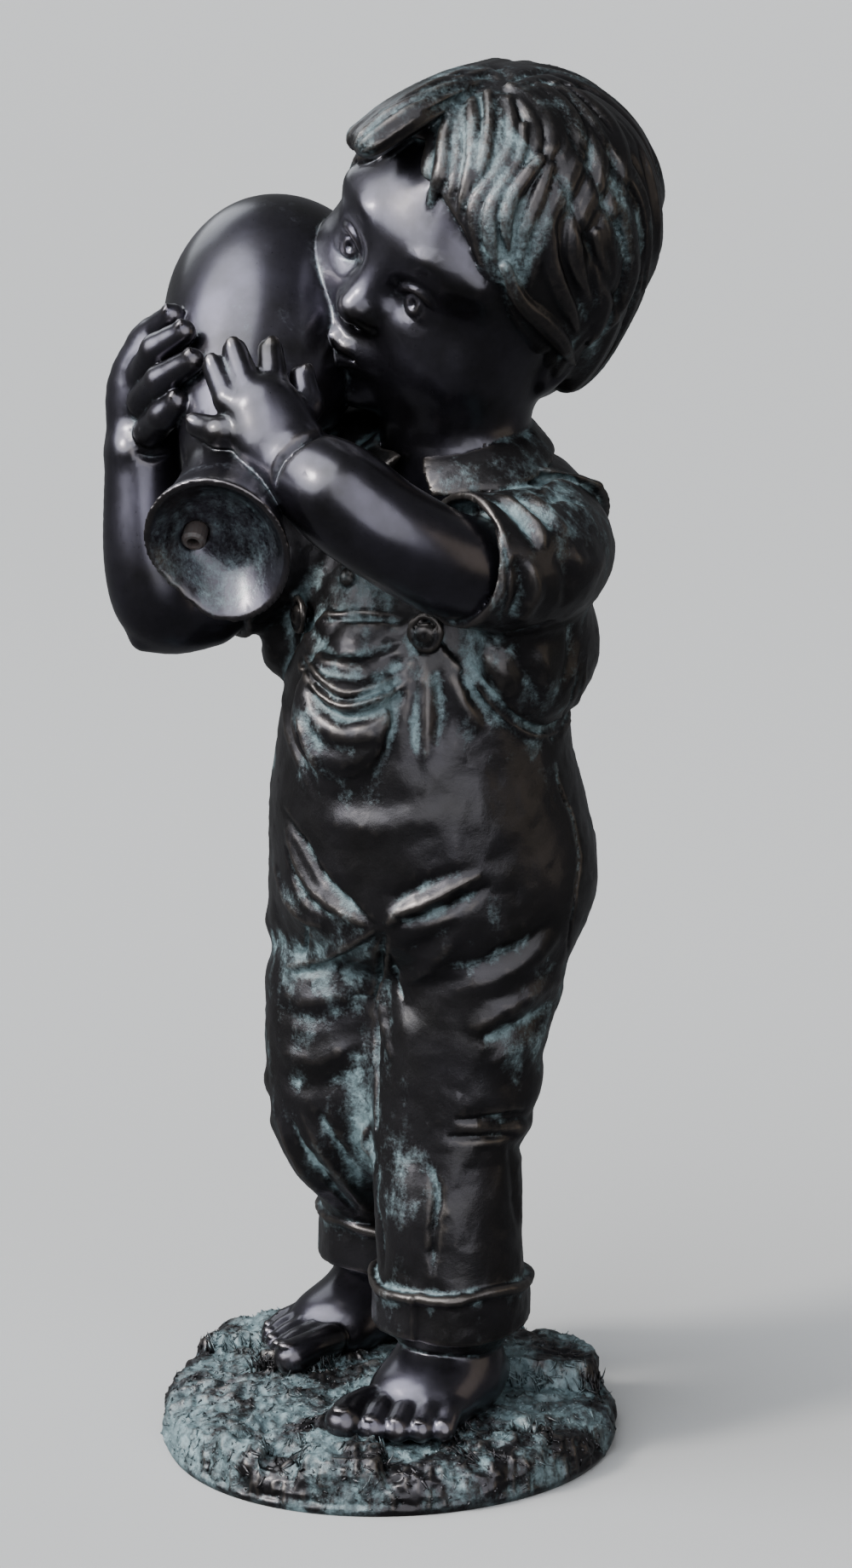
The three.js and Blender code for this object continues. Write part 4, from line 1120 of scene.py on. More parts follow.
def carve_clothes(step):
    """Overalls with legs and cuffs, then the shirt without its sleeves and collar."""
    overalls = Clay(*CLOTHES_BOX, step)
    overalls.add(trunk_form(0, None))
    for leg in LEGS.values():
        carve_leg(overalls, leg)
    pouch = [on_trunk(a, z, o) for a, z, o in ((-3, 440, -1), (-3, 418, 2.5), (-3, 398, 0))]
    overalls.add(tube(pouch, [20, 30, 20], flat=0.3, up=unit((-0.53, -0.85, 0)), count=9), blend=6)
    for s in (1, -1):
        strap = [on_trunk(s * a, z, 1.2) for a, z in STRAP]
        up = unit((0.3 * s, 0.5, 0.9))
        overalls.add(tube(strap, [11] * len(STRAP), flat=0.26, up=up, count=15), blend=1)
        turned = BUTTON_ANGLES[s]
        button = np.array(on_trunk(turned, 461, 2))
        turn = np.array(Matrix.Rotation(math.radians(BODY_TURN + turned), 3, "Z"))
        overalls.add(ball(button, (6.4, 3.6, 6.4), turn), blend=1)
        out = button - np.array(on_trunk(turned, 461, -2))
        ring = [
            button + turn @ np.array((8 * math.cos(t), -0.5, 9 * math.sin(t) + 1))
            for t in np.linspace(0, 6.283, 13)
        ]
        overalls.add(tube(ring, [1.7] * 13, count=25), blend=0.8)
        overalls.cut(ball(button + out, (1.2, 1.2, 1.2)), blend=0.8)
    shirt = Clay(*CLOTHES_BOX, step)
    shirt.add(trunk_form(2.4, 546))
    turn = np.array(Matrix.Rotation(math.radians(BODY_TURN), 3, "Z"))
    shirt.add(ball(on_trunk(84, 448, -10), (26, 48, 40), turn), blend=10)
    shirt.add(ball(on_trunk(-84, 448, -10.5), (26, 44, 36), turn), blend=10)
    for angle, z in SHIRT_BUTTONS:
        shirt.add(ball(on_trunk(angle, z, -1.6), (5, 5, 5)), blend=1)
    return overalls, shirt


# The collar's band: angle from the front, reach from the neck's middle, height and half width.
COLLAR = [
    (180, 41, 563, 11),
    (140, 38, 560, 11),
    (100, 42, 554, 12),
    (60, 52, 547, 14),
    (30, 57, 543, 13),
    (0, 60, 541, 13),
]
NECK_AT = (40.0, 2.0)
# The flaps' straight front edges: degrees from the front at a height, and degrees a millimetre down.
COLLAR_EDGE = (8.0, 551.0, 0.57)


def flap(line, half, up, sign):
    """A band of the collar, cut straight at the front."""

    def cut_off(distance):
        def inner(x, y, z):
            angle = np.degrees(np.arctan2(x - NECK_AT[0], NECK_AT[1] - y)) - BODY_TURN
            start, high, slope = COLLAR_EDGE
            return np.maximum(distance(x, y, z), start + slope * (high - z) - sign * angle)

        return inner

    band = tube(line, half, flat=0.24, up=up, count=33)
    return Form([(low, high, cut_off(distance)) for low, high, distance in band.parts])


def carve_collar(shirt):
    """A turned-down collar: two flaps from the nape to points at the front."""
    angle, reach, z, half = np.array(COLLAR, float).T
    for s in (1, -1):
        a = np.radians(angle * s + BODY_TURN)
        out = np.stack([np.sin(a), -np.cos(a), np.zeros(len(a))], axis=1)
        line = np.array((*NECK_AT, 0.0)) + out * reach[:, None] + np.outer(z, (0, 0, 1))
        up = smooth_line(out * 0.72 + (0, 0, 0.7), 33)
        shirt.add(flap(line, half, up, s), blend=0.8)


def carve_statue(step):
    """The whole child with the jug, as clay."""
    statue = Clay(*STATUE_BOX, step)
    overalls, shirt = carve_clothes(step)
    bare = Clay(*BARE_BOX, step)
    for leg in LEGS.values():
        carve_foot(bare, **leg["foot"])
    for arm in ARMS.values():
        carve_arm(bare, shirt, arm)
    carve_collar(shirt)
    statue.merge(shirt, 0, CLOTH)
    statue.merge(overalls, 0.8, CLOTH)
    statue.merge(bare, 0.8, SKIN)
    del overalls, shirt, bare
    head = Clay(*HEAD_BOX, step)
    carve_face(head)
    statue.merge(head, 1.5, SKIN)
    hair = Clay(*HEAD_BOX, step)
    hair.add(hair_cap(1.0))
    statue.merge(hair, 1.0, HAIR)
    hair.field[:] = FAR
    head.add(hair_cap(0.0))
    carve_fringe(hair, head)
    statue.merge(hair, 0.8, HAIR)
    del head, hair
    pot = Clay(*JUG_BOX, step)
    pot.add(jug_form())
    statue.merge(pot, 1.0, JUG)
    statue.cut(tube([jug_spot(*SPOUT_OFFSET, w) for w in SPOUT_ENDS], [SPOUT_SOCKET] * 2, count=2))
    return statue


def draw_strokes(surface, clay):
    """Folds, seams and creases drawn on the carved surface."""
    surface.facings = surface.normals()
    sets = (
        (HAIR_STROKES, front_rays),
        (FRONT_STROKES, front_rays),
        (BACK_STROKES, back_rays),
        (LEFT_STROKES, side_rays(1)),
        (RIGHT_STROKES, side_rays(-1)),
    )
    for strokes, rays in sets:
        for width, height, places in strokes:
            line, _, facing = laid(clay, rays, np.asarray(places, float))
            if len(line) > 1:
                surface.stroke(line, width, height, facing)


# Where the cloth is rubbed bare or holds more verdigris: middle, reach and change.
PATINA_ZONES = [
    ((21, -72, 360), 52, -0.45),
    ((84, -45, 330), 46, -0.4),
    ((22, -58, 250), 34, -0.35),
    ((55, -60, 150), 36, -0.45),
    ((-38, -10, 225), 60, 0.16),
    ((75, -45, 225), 30, 0.14),
    ((82, -50, 523), 36, 0.12),
    ((-12, -72, 444), 24, 0.36),
    ((16, -74, 438), 13, 0.4),
    ((15, -76, 408), 15, 0.4),
    ((-14, -42, 486), 22, 0.3),
]


def patina_of(points, finish, recess):
    """How much verdigris each spot holds: streaked on cloth and hair, a trace elsewhere."""
    patches = 0.6 * noise(points, 36, 21) + 0.4 * noise(points, 13, 22)
    streaks = noise(points * np.array((1, 1, 0.3)), 5, 23)
    lock = combed(*((points - on_head(SKULL_AT)) @ HEAD_TURN).T)[1]
    combs = noise(np.stack([lock * 4, points[:, 2] / 28, 0 * lock], axis=1), 1, 24)
    cloth = 0.2 + 0.7 * recess + 0.45 * patches + 0.35 * streaks
    for middle, reach, change in PATINA_ZONES:
        cloth = cloth + change * np.exp(-np.sum(((points - middle) / reach) ** 2, axis=1))
    hair = 0.26 + 0.3 * recess + 0.3 * patches + 0.55 * combs
    axis = jug_axes()[2]
    q = points - JUG_BELLY
    along = q @ axis
    deep = np.linalg.norm(q - along[:, None] * axis, axis=1)
    inside = (1 - step_up(30, 37, deep)) * step_up(150, 160, along)
    jug = 0.1 + 0.25 * patches + 0.3 * recess + 0.34 * inside
    skin = 0.05 + 0.2 * patches + 0.35 * recess
    return np.clip(np.choose(finish, (skin, cloth, hair, jug)), 0, 1)


class Term:
    """A value in a shader, which Python's operators add nodes to."""

    def __init__(self, shader, socket):
        self.shader = shader
        self.socket = socket

    def math(self, operation, one, two):
        return self.shader.node("ShaderNodeMath", {"operation": operation}, {0: one, 1: two})

    def __add__(self, other):
        return self.math("ADD", self, other)

    __radd__ = __add__

    def __sub__(self, other):
        return self.math("SUBTRACT", self, other)

    def __rsub__(self, other):
        return self.math("SUBTRACT", other, self)

    def __mul__(self, other):
        return self.math("MULTIPLY", self, other)

    __rmul__ = __mul__

    def __truediv__(self, other):
        return self.math("DIVIDE", self, other)

    def clamped(self):
        """The value kept between 0 and 1."""
        return self.shader.node("ShaderNodeClamp", {}, {"Value": self})


class Nodes:
    """A node tree, with one way to add a node."""

    def __init__(self, tree):
        self.tree = tree

    def node(self, kind, settings, sockets, out=0):
        """Adds a node: its settings first, then the values or links of its sockets."""
        made = self.tree.nodes.new(kind)
        for name, value in settings.items():
            setattr(made, name, value)
        self.fill(made, sockets)
        return Term(self, made.outputs[out])

    def fill(self, made, sockets):
        """Sets or links a node's sockets."""
        for name, value in sockets.items():
            if isinstance(value, Term):
                self.tree.links.new(value.socket, made.inputs[name])
            else:
                made.inputs[name].default_value = value


class Shader(Nodes):
    """A material's tree."""

    def __init__(self, name):
        self.material = bpy.data.materials.new(name)
        self.material.use_nodes = True
        super().__init__(self.material.node_tree)
        self.surface = self.tree.nodes["Principled BSDF"]

    def finish(self, sockets):
        """Sets or links the surface's own sockets."""
        self.fill(self.surface, sockets)
        return self.material

    def place(self, scale=(1, 1, 1)):
        """The piece's own coordinates, stretched."""
        at = self.node("ShaderNodeTexCoord", {}, {}, "Object")
        return self.node("ShaderNodeMapping", {}, {"Vector": at, "Scale": scale})

    def noise(self, place, scale, detail=3.0, rough=0.55):
        """Smooth noise from 0 to 1."""
        sockets = {"Vector": place, "Scale": scale, "Detail": detail, "Roughness": rough}
        return self.node("ShaderNodeTexNoise", {}, sockets)

    def layer(self, name):
        """A value that is kept on the piece's points."""
        return self.node("ShaderNodeAttribute", {"attribute_name": name}, {}, "Fac")

    def mix(self, share, one, two):
        """One colour blended into another."""
        return self.node("ShaderNodeMix", {"data_type": "RGBA"}, {0: share, 6: one, 7: two}, 2)


def patinated_bronze(name, finish):
    """Dark bronze with dry verdigris, painted shade in recesses, and warm edges that are partly rubbed metal
    and partly a painted highlight.
    """
    s = Shader(name)
    even, long = s.place(), s.place((1, 1, 0.4))
    recess, ridge, cloth, patina = (s.layer(n) for n in ("recess", "ridge", "cloth", "patina"))
    patches = s.noise(even, 24, 4.0)
    streaks = s.noise(long, 110, 5.0, 0.65)
    specks = s.noise(even, 520, 3.0, 0.7)
    crust = s.noise(even, 170, 4.0, 0.7)
    lay = patina * 1.5 - 0.5 + (streaks - 0.5) * 1.7 + (specks - 0.5) * 1.3 + (crust - 0.5) * 0.8
    verdigris = (lay * 1.2).clamped() * (patina * 1.6).clamped()
    # Lighter warm colour on ridges: partly rubbed metal, partly a painted highlight.
    worn_and_highlight = ((ridge - 0.35 + (crust - 0.5) * 0.6) * 1.5).clamped() * (1 - verdigris)
    sheen = ((patches - 0.25) * 1.8).clamped() * (1 - cloth * 0.8)
    body = s.mix(sheen, (*finish.bronze, 1), (*finish.sheen, 1))
    # Painted shade: the colour darkens towards near black in recesses.
    body = s.mix(recess * 0.6, body, (0.006, 0.006, 0.007, 1))
    pale = s.mix(((crust - 0.42) * 2.5).clamped(), (*finish.verdigris, 1), (*finish.verdigris_pale, 1))
    colour = s.mix(verdigris * finish.verdigris_amount, body, pale)
    # Lays the warm ridge colour on: rubbed metal and a painted highlight.
    colour = s.mix(worn_and_highlight * 0.28, colour, (*finish.worn_and_highlight, 1))
    rough = finish.roughness + verdigris * 0.3 + cloth * 0.04 + (specks - 0.5) * 0.14
    bump = s.node(
        "ShaderNodeBump",
        {},
        {
            "Strength": 0.45,
            "Distance": 0.0009,
            "Height": (specks * 0.45 + crust * 0.75) * (0.12 + cloth * 0.4 + verdigris * 0.6),
        },
    )
    return s.finish(
        {
            "Base Color": colour,
            "Roughness": rough.clamped(),
            "Metallic": (finish.metal + 0.12 * (1 - cloth)) * (1 - verdigris * 0.85),
            "Normal": bump,
            "Coat Weight": 0.3 - cloth * 0.26,
            "Coat Roughness": 0.2,
        }
    )


def tube_plastic(name, finish):
    """The dark water tube, with lime at its rim."""
    s = Shader(name)
    specks = s.noise(s.place(), 500, 3.0, 0.7)
    lime = ((specks - 0.5) * 2.5).clamped()
    colour = s.mix(lime * 0.6, (*finish.tube, 1), (*finish.verdigris, 1))
    return s.finish({"Base Color": colour, "Roughness": 0.5 + specks * 0.25})


def dress(piece, nodes, material):
    """Gives a piece its material and slot and its body, and hides the CAD nodes it stands for."""
    piece.data.materials.clear()
    piece.data.materials.append(material)
    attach(piece, BODY)
    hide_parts(*nodes)


class FinishSettings(bpy.types.PropertyGroup):
    """The colours of the casting."""

    bronze: FloatVectorProperty(
        name="Bronze", description="Dark ground colour", subtype="COLOR", default=(0.014, 0.013, 0.0125)
    )
    sheen: FloatVectorProperty(
        name="Sheen",
        description="Violet cast of smooth areas",
        subtype="COLOR",
        default=(0.068, 0.063, 0.084),
    )
    verdigris: FloatVectorProperty(
        name="Verdigris", description="Deep blue-green", subtype="COLOR", default=(0.034, 0.056, 0.062)
    )
    verdigris_pale: FloatVectorProperty(
        name="Pale verdigris", description="Chalky blue-green", subtype="COLOR", default=(0.13, 0.185, 0.2)
    )
    # Colour of rubbed ridges, which also serves as a painted highlight.
    worn_and_highlight: FloatVectorProperty(
        name="Worn metal", description="Rubbed edges", subtype="COLOR", default=(0.13, 0.112, 0.098)
    )
    tube: FloatVectorProperty(
        name="Water tube", description="Plastic of the tube", subtype="COLOR", default=(0.03, 0.022, 0.02)
    )
    verdigris_amount: FloatProperty(
        name="Verdigris amount",
        description="How much of it shows",
        default=0.9,
        min=0,
        max=1,
        subtype="FACTOR",
    )
    roughness: FloatProperty(
        name="Roughness", description="Of the bare bronze", default=0.3, min=0, max=1, subtype="FACTOR"
    )
    metal: FloatProperty(
        name="Metal", description="How metallic the bronze is", default=0.85, min=0, max=1, subtype="FACTOR"
    )


class CarvingSettings(bpy.types.PropertyGroup):
    """How finely the statue is carved, and the ground's sizes."""

    grain: FloatProperty(
        name="Grain", description="Spacing of the carving grid", default=0.00125, unit="LENGTH", precision=5
    )
    triangles: IntProperty(name="Triangles", description="Most triangles of the statue", default=196000)
    base_radius: FloatProperty(
        name="Base radius", description="Mean radius of the ground", default=0.13, unit="LENGTH"
    )
    blades: FloatProperty(name="Blades", description="Grass blades on a square metre", default=36000)
    blade_length: FloatProperty(
        name="Blade length", description="Length of a grass blade", default=0.0075, unit="LENGTH", precision=4
    )


class StageSettings(bpy.types.PropertyGroup):
    """Floor and light."""

    floor: FloatVectorProperty(
        name="Floor", description="Colour of the floor", subtype="COLOR", default=(0.24, 0.24, 0.24)
    )
    light: FloatProperty(name="Light", description="Strength of the room's light", default=0.16, min=0)
    key: FloatProperty(name="Key", description="Strength of the main light", default=5.2, min=0)
    sky: FloatProperty(name="Sky", description="Strength of the broad light from above", default=10.5, min=0)
    front: FloatProperty(
        name="Front", description="Strength of the broad light before it", default=3.7, min=0
    )


class STATUE_OT_child(bpy.types.Operator):
    """Carve the child with the jug"""

    bl_idname = "statue.carve_child"
    bl_label = "Child with jug"

    def execute(self, context):
        carving = context.scene.statue_carving
        step = carving.grain / MM * 1
        clay = carve_statue(step)
        points, faces, finish = clay.skin()
        surface = Surface(points, faces)
        surface.soften(2)
        draw_strokes(surface, clay)
        surface.soften(1)
        weave = surface.spread((finish == CLOTH).astype(float)[:, None], 6)
        hammered = 0.6 * noise(surface.points, 11, 31) + 0.32 * noise(surface.points, 4.5, 32)
        surface.points = surface.points + surface.normals() * weave * hammered[:, None]
        layers = relief(surface, step)
        layers["cloth"] = surface.spread(np.isin(finish, (CLOTH, HAIR)).astype(float)[:, None], 3)[:, 0]
        patina = patina_of(surface.points, finish, layers["recess"])
        layers["patina"] = surface.spread(patina[:, None], 2)[:, 0]
        piece = piece_of("child_with_jug", mesh_of("child_with_jug", surface.points, surface.faces))
        thin(piece, carving.triangles)
        carry(piece.data, surface.points, layers)
        material = patinated_bronze("statue_bronze", context.scene.statue_finish)
        dress(piece, ["statue"], material)
        return {"FINISHED"}


BASE_AT = (-2.0, 11.0)
# The ground's profile: share of its radius and height.
BASE_PROFILE = [
    (0.985, 0), (1.0, 5), (0.99, 15), (0.93, 22), (0.75, 27), (0.5, 29.5), (0.25, 31), (0.005, 31.5),
]
# Clumps of turf with steep sides: middle, half sizes and rise.
CLUMPS = [
    ((88, 27), (31, 31), 15.0),
    ((-53, 29), (23, 19), 11.0),
    ((-23, -104), (25, 20), 8.0),
    ((-79, -94), (16, 16), 7.0),
    ((62, -82), (24, 16), 3.5),
    ((-20, 118), (26, 18), 6.0),
    ((60, 112), (22, 18), 5.0),
    ((-78, 84), (32, 24), 9.0),
]
# Raised roots and a leaf on the turf: width, height and places.
ROOTS = [
    (4.0, 3.2, [(-124, 4), (-84, 8), (-48, 18), (-14, 36)]),
    (4.0, 3.0, [(-120, -14), (-80, -8), (-44, 2), (-8, 18)]),
    (3.6, 2.6, [(-112, -34), (-76, -26), (-42, -18), (-8, 0)]),
    (4.5, 5.5, [(-92, -88), (-82, -72), (-71, -55)]),
    (4.0, 2.6, [(70, -50), (90, -66), (104, -60)]),
]


def base_reach(angle, radius):
    """The uneven outline of the ground."""
    a = np.radians(100)
    return radius + 5 * np.cos(2 * (angle - a)) + 3 * np.cos(3 * (angle + np.radians(13)))


def off_line(points, line):
    """How far points on the ground are from a line."""
    best = np.full(len(points), 1e9)
    for a, b in zip(line[:-1], line[1:]):
        d = b - a
        share = np.clip((points - a) @ d / (d @ d), 0, 1)
        best = np.minimum(best, np.linalg.norm(points - a - share[:, None] * d, axis=1))
    return best


def ground_surface(radius, rows, columns):
    """The turf as a disc: flat below, with a steep rim, clumps and roots on top."""
    profile = np.vstack([[(0.5, 0.0)], smooth_line(BASE_PROFILE, rows)])
    angle = np.linspace(0, 2 * np.pi, columns, endpoint=False)
    a, s = np.meshgrid(angle, profile[:, 0])
    reach = base_reach(a, radius) * s
    x, y = BASE_AT[0] + reach * np.cos(a), BASE_AT[1] + reach * np.sin(a)
    flat = np.stack([x.ravel(), y.ravel()], axis=1)
    z = np.repeat(profile[:, 1:], columns, axis=1).ravel()
    ragged = 0.16 * noise(np.c_[flat, flat[:, :1] * 0], 9, 5)
    rise, edge = np.zeros(len(z)), np.zeros(len(z))
    for middle, half, height in CLUMPS:
        off = np.linalg.norm((flat - middle) / half, ord=4, axis=1) + ragged
        rise = np.maximum(rise, height * (1 - step_up(0.82, 1.0, off)))
        edge = np.maximum(edge, np.exp(-(((off - 0.99) / 0.08) ** 2)))
    for width, height, places in ROOTS:
        rise = rise + height * np.exp(-((off_line(flat, smooth_line(places, 16)) / width) ** 2))
    z = z + rise * step_up(8, 15, z)
    i = np.arange(rows)[:, None] * columns + np.arange(columns)[None, :]
    j = np.arange(rows)[:, None] * columns + (np.arange(columns)[None, :] + 1) % columns
    quads = np.stack([i, j, j + columns, i + columns], axis=2).reshape(-1, 4)
    return np.c_[flat, z], quads, edge * step_up(18, 24, z)


class STATUE_OT_ground(bpy.types.Operator):
    """Shape the grassy ground"""

    bl_idname = "statue.shape_ground"
    bl_label = "Ground"

    def execute(self, context):
        carving = context.scene.statue_carving
        rows, columns = ((148, 600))
        points, quads, edge = ground_surface(carving.base_radius / MM, rows, columns)
        surface = Surface(points, quads)
        n = surface.normals()
        free = step_up(2, 7, points[:, 2])
        steep = 1 - step_up(0.6, 0.88, n[:, 2])
        lumps = 1.8 * noise(points, 20, 1) + 1.3 * noise(points, 8, 2) - 1.2
        dabs = 1.5 - 3.0 * np.abs(noise(points, 6.5, 3)) + 0.9 * noise(points, 3, 4)
        stems = 1.5 * noise(points * np.array((1, 1, 0.12)), 3.2, 6)
        surface.points = points + n * (free * (lumps + dabs * (1 - 0.6 * steep) + stems * steep))[:, None]
        surface.points[:, 2] = np.maximum(surface.points[:, 2], 0)
        layers = relief(surface, 1.5)
        patches = 0.6 * noise(points, 26, 8) + 0.4 * noise(points, 10, 9)
        layers["patina"] = np.clip(0.53 + 0.75 * patches + 0.25 * layers["recess"], 0, 1)
        layers["cloth"] = np.ones(len(points))
        layers["turf"] = step_up(3, 8, points[:, 2])
        layers["stand"] = edge
        ends = [np.array((*BASE_AT, 0.0)), surface.points[-columns:].mean(0)]
        mesh = mesh_of("ground", np.vstack([surface.points, ends]), quads)
        close_ends(mesh, columns, rows * columns, len(points))
        for name, values in layers.items():
            paint(mesh, name, np.concatenate([values, [0, 0]]))
        piece = piece_of("ground", mesh)
        material = patinated_bronze("turf_bronze", context.scene.statue_finish)
        dress(piece, ["statue"], material)
        return {"FINISHED"}


def close_ends(mesh, columns, last, middle):
    """Closes the first and last rings of a disc on their two middle points."""
    made = bmesh.new()
    made.from_mesh(mesh)
    made.verts.ensure_lookup_table()
    v = made.verts
    for k in range(columns):
        after = (k + 1) % columns
        made.faces.new((v[middle], v[after], v[k]))
        made.faces.new((v[middle + 1], v[last + k], v[last + after]))
    bmesh.ops.recalc_face_normals(made, faces=made.faces)
    made.to_mesh(mesh)
    made.free()


def grass_tree(name):
    """A tree that lays bent blades over a mesh, standing where it is steep, and the keys of its inputs."""
    tree = bpy.data.node_groups.new(name, "GeometryNodeTree")
    keys = {}
    for label, kind in (
        ("Turf", "NodeSocketGeometry"),
        ("Density", "NodeSocketFloat"),
        ("Length", "NodeSocketFloat"),
        ("Width", "NodeSocketFloat"),
        ("Seed", "NodeSocketInt"),
        ("Finish", "NodeSocketMaterial"),
    ):
        keys[label] = tree.interface.new_socket(label, in_out="INPUT", socket_type=kind).identifier
    tree.interface.new_socket("Blades", in_out="OUTPUT", socket_type="NodeSocketGeometry")
    n = Nodes(tree)
    given = tree.nodes.new("NodeGroupInput")
    value = {label: Term(n, given.outputs[label]) for label in keys}

    def vector(operation, sockets, out=0):
        return n.node("ShaderNodeVectorMath", {"operation": operation}, sockets, out)

    turf = n.node("GeometryNodeInputNamedAttribute", {"data_type": "FLOAT"}, {"Name": "turf"})
    stand = n.node("GeometryNodeInputNamedAttribute", {"data_type": "FLOAT"}, {"Name": "stand"})
    spread = tree.nodes.new("GeometryNodeDistributePointsOnFaces")
    density = value["Density"] * (turf + stand * 2)
    n.fill(spread, {"Mesh": value["Turf"], "Density": density, "Seed": value["Seed"]})
    normal = Term(n, spread.outputs["Normal"])
    cone = n.node(
        "GeometryNodeMeshCone",
        {"fill_type": "TRIANGLE_FAN"},
        {
            "Vertices": 5,
            "Side Segments": 3,
            "Radius Top": value["Width"] * 0.25,
            "Radius Bottom": value["Width"],
            "Depth": value["Length"],
        },
    )
    at = n.node("GeometryNodeInputPosition", {}, {})
    split = tree.nodes.new("ShaderNodeSeparateXYZ")
    n.fill(split, {0: at})
    x, y, z = (Term(n, o) for o in split.outputs)
    bent = n.node("ShaderNodeCombineXYZ", {}, {0: x * 0.5 + z * z / value["Length"] * -0.2, 1: y, 2: z})
    blade = n.node("GeometryNodeSetPosition", {}, {"Geometry": cone, "Position": bent})
    stray = n.node(
        "FunctionNodeRandomValue",
        {"data_type": "FLOAT_VECTOR"},
        {"Min": (-1, -1, -1), "Max": (1, 1, 1), "Seed": value["Seed"]},
    )
    drift = n.node("ShaderNodeTexNoise", {}, {"Scale": 34.0, "Detail": 1.0}, "Color")
    drift = vector("SCALE", {0: vector("SUBTRACT", {0: drift, 1: (0.5, 0.5, 0.5)}), "Scale": 7.0})
    drift = vector("ADD", {0: drift, 1: stray})
    off = vector("DOT_PRODUCT", {0: drift, 1: normal}, 1)
    lying = vector("SUBTRACT", {0: drift, 1: vector("SCALE", {0: normal, "Scale": off + 0.4})})
    swayed = vector("SCALE", {0: stray, "Scale": 0.22})
    lean = vector("ADD", {0: swayed, 1: vector("SCALE", {0: normal, "Scale": 0.08})})
    standing = vector("ADD", {0: lean, 1: (0, 0, 1)})
    way = n.node("ShaderNodeMix", {"data_type": "VECTOR"}, {0: stand, 4: lying, 5: standing}, 1)
    turn = n.node("FunctionNodeAlignRotationToVector", {"axis": "Z"}, {"Vector": way})
    size = n.node("FunctionNodeRandomValue", {"data_type": "FLOAT"}, {"Min": 0.5, "Max": 1.1, "Seed": 5}, 1)
    scattered = n.node(
        "GeometryNodeInstanceOnPoints",
        {},
        {
            "Points": Term(n, spread.outputs["Points"]),
            "Instance": blade,
            "Rotation": turn,
            "Scale": size * (1 + stand * 0.2),
        },
    )
    real = n.node("GeometryNodeRealizeInstances", {}, {"Geometry": scattered})
    done = n.node("GeometryNodeSetMaterial", {}, {"Geometry": real, "Material": value["Finish"]})
    result = tree.nodes.new("NodeGroupOutput")
    tree.links.new(done.socket, result.inputs[0])
    return tree, keys


# The lowest that a hanging blade reaches.
BLADE_LOW = 0.3


class STATUE_OT_grass(bpy.types.Operator):
    """Lay grass blades over the ground"""

    bl_idname = "statue.lay_grass"
    bl_label = "Grass"

    def execute(self, context):
        carving = context.scene.statue_carving
        material = patinated_bronze("grass_bronze", context.scene.statue_finish)
        piece = piece_of("grass", bpy.data.objects["ground"].data.copy())
        tree, keys = grass_tree("grass")
        spread = piece.modifiers.new("grass", "NODES")
        spread.node_group = tree
        spread[keys["Density"]] = carving.blades
        spread[keys["Length"]] = carving.blade_length
        spread[keys["Width"]] = carving.blade_length * 0.2
        spread[keys["Seed"]] = 4
        spread[keys["Finish"]] = material
        mesh = settled(piece)
        places = np.array([v.co for v in mesh.vertices]) / MM
        places[:, 2] = np.maximum(places[:, 2], BLADE_LOW)
        mesh.vertices.foreach_set("co", (places * MM).astype(np.float32).ravel())
        patches = 0.6 * noise(places, 26, 8) + 0.4 * noise(places, 10, 9)
        for name, values in (
            # An even recess value, which the material turns into a little painted shade on every blade.
            ("recess", 0.25 + 0 * patches),
            ("ridge", 0.15 + 0 * patches),
            ("cloth", 1 + 0 * patches),
            ("patina", np.clip(0.47 + 0.75 * patches, 0, 1)),
        ):
            if name in mesh.attributes:
                mesh.attributes.remove(mesh.attributes[name])
            paint(mesh, name, values)
        mesh.shade_smooth()
        dress(piece, ["statue"], material)
        return {"FINISHED"}


FLOOR_FLAT, FLOOR_REACH, FLOOR_RISE = 6000.0, 60000.0, 9000.0


def floor_dish(count):
    """A wide floor, flat about the statue and rising a little far off."""
    t = np.linspace(-1, 1, count) ** 3 * FLOOR_REACH
    x, y = (v.ravel() for v in np.meshgrid(t, t))
    far = np.maximum(np.hypot(x, y) - FLOOR_FLAT, 0) / (FLOOR_REACH - FLOOR_FLAT)
    i = (np.arange(count - 1)[:, None] * count + np.arange(count - 1)[None, :]).ravel()
    quads = np.stack([i, i + 1, i + count + 1, i + count], axis=1)
    return np.stack([x, y, FLOOR_RISE * far**2], axis=1), quads


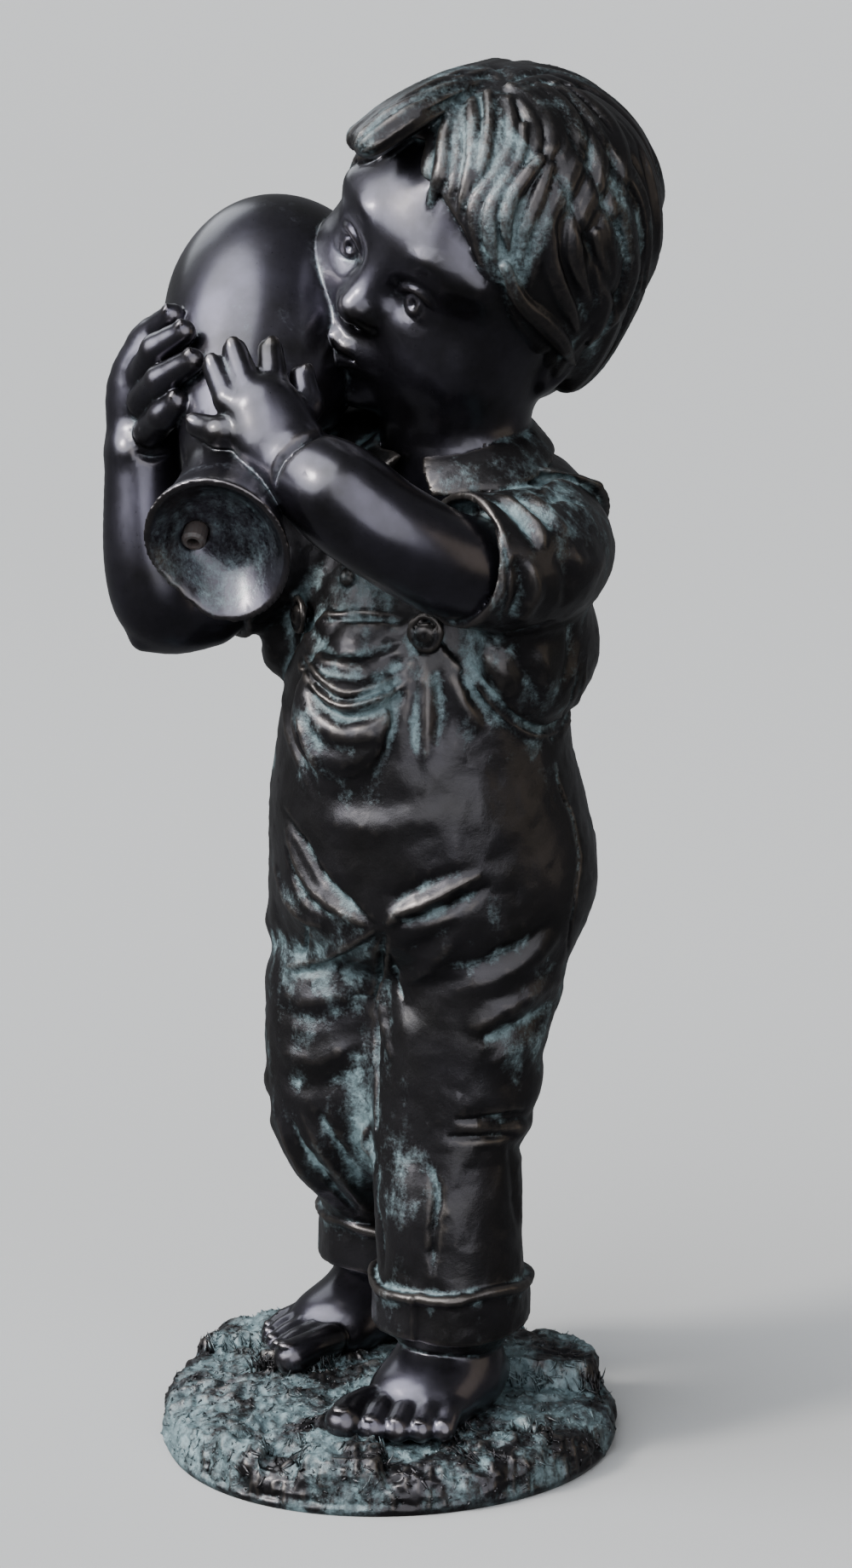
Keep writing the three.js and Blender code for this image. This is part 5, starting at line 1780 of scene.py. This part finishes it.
class STATUE_OT_stage(bpy.types.Operator):
    """Set the floor, lights and camera"""

    bl_idname = "statue.set_stage"
    bl_label = "Stage"

    def execute(self, context):
        stage = context.scene.statue_stage
        floor = piece_of("floor", mesh_of("floor", *floor_dish(41)))
        s = Shader("pale_floor")
        mottle = s.noise(s.place(), 3.0)
        colour = s.mix(mottle * 0.06, (*stage.floor, 1), (0.21, 0.21, 0.21, 1))
        floor.data.materials.append(s.finish({"Base Color": colour, "Roughness": 0.8}))
        floor.visible_glossy = False
        world = context.scene.world or bpy.data.worlds.new("room")
        context.scene.world = world
        world.use_nodes = True
        back = world.node_tree.nodes["Background"]
        back.inputs["Color"].default_value = (0.93, 0.96, 1.0, 1)
        back.inputs["Strength"].default_value = stage.light
        for name, kind, at, size, power, colour in (
            ("key", "SUN", (-1.5, -0.7, 1.6), math.radians(12), stage.key, (1, 0.96, 0.9)),
            ("sky", "SUN", (-0.55, -0.3, 1.0), math.radians(75), stage.sky, (0.92, 0.96, 1)),
            ("front", "SUN", (0.25, -0.85, 0.75), math.radians(66), stage.front, (0.92, 0.95, 1)),
            ("side", "AREA", (1.9, -0.5, 0.7), 1.2, 5.0, (1, 0.84, 0.62)),
            ("rim", "AREA", (-1.0, 1.7, 1.7), 1.0, 8.0, (0.9, 0.95, 1)),
        ):
            lamp = bpy.data.lights.new(name, kind)
            lamp.energy, lamp.color = power, colour
            if kind == "SUN":
                lamp.angle = size
            else:
                lamp.size = size
            holder = bpy.data.objects.new(name, lamp)
            holder.location = at
            holder.rotation_euler = (Vector((0, 0, 0.4)) - Vector(at)).to_track_quat("-Z", "Y").to_euler()
            context.scene.collection.objects.link(holder)
        lens = bpy.data.cameras.new("camera")
        lens.sensor_fit = "VERTICAL"
        lens.sensor_height = lens.sensor_width = 36
        lens.lens = CAMERA_FOCUS / PICTURE[1] * 36
        camera = bpy.data.objects.new("camera", lens)
        camera.location = CAMERA_AT
        camera.rotation_euler = (math.radians(90 - CAMERA_PITCH), 0, 0)
        context.scene.collection.objects.link(camera)
        context.scene.camera = camera
        return {"FINISHED"}


class STATUE_OT_spout(bpy.types.Operator):
    """Finish the water tube in the jug's mouth"""

    bl_idname = "statue.finish_spout"
    bl_label = "Water tube"

    def execute(self, context):
        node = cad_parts["spout_tube"]
        node.data.materials.clear()
        node.data.materials.append(tube_plastic("tube_plastic", context.scene.statue_finish))
        return {"FINISHED"}


class STATUE_PT_panel(bpy.types.Panel):
    """The statue's pieces and settings"""

    bl_label = "Pond Spitter Statue"
    bl_idname = "STATUE_PT_panel"
    bl_space_type = "VIEW_3D"
    bl_region_type = "UI"
    bl_category = "Statue"

    def draw(self, context):
        for group, _ in SETTINGS:
            settings = getattr(context.scene, group)
            box = self.layout.box()
            for name in settings.bl_rna.properties.keys():
                if name not in ("rna_type", "name"):
                    box.prop(settings, name)
        for operator in OPERATORS:
            self.layout.operator(operator.bl_idname)


OPERATORS = (STATUE_OT_stage, STATUE_OT_child, STATUE_OT_ground, STATUE_OT_grass, STATUE_OT_spout)
SETTINGS = (
    ("statue_carving", CarvingSettings),
    ("statue_finish", FinishSettings),
    ("statue_stage", StageSettings),
)


def register():
    """Adds the settings, operators and panel."""
    for name, kind in SETTINGS:
        bpy.utils.register_class(kind)
        setattr(bpy.types.Scene, name, PointerProperty(type=kind))
    for kind in (*OPERATORS, STATUE_PT_panel):
        bpy.utils.register_class(kind)


def unregister():
    """Takes them away again."""
    for kind in (STATUE_PT_panel, *reversed(OPERATORS)):
        bpy.utils.unregister_class(kind)
    for name, kind in reversed(SETTINGS):
        delattr(bpy.types.Scene, name)
        bpy.utils.unregister_class(kind)


def main():
    """Makes every piece in order."""
    register()
    bpy.ops.statue.set_stage()
    bpy.ops.statue.carve_child()
    bpy.ops.statue.shape_ground()
    bpy.ops.statue.lay_grass()
    bpy.ops.statue.finish_spout()


if __name__ == "__main__":
    main()
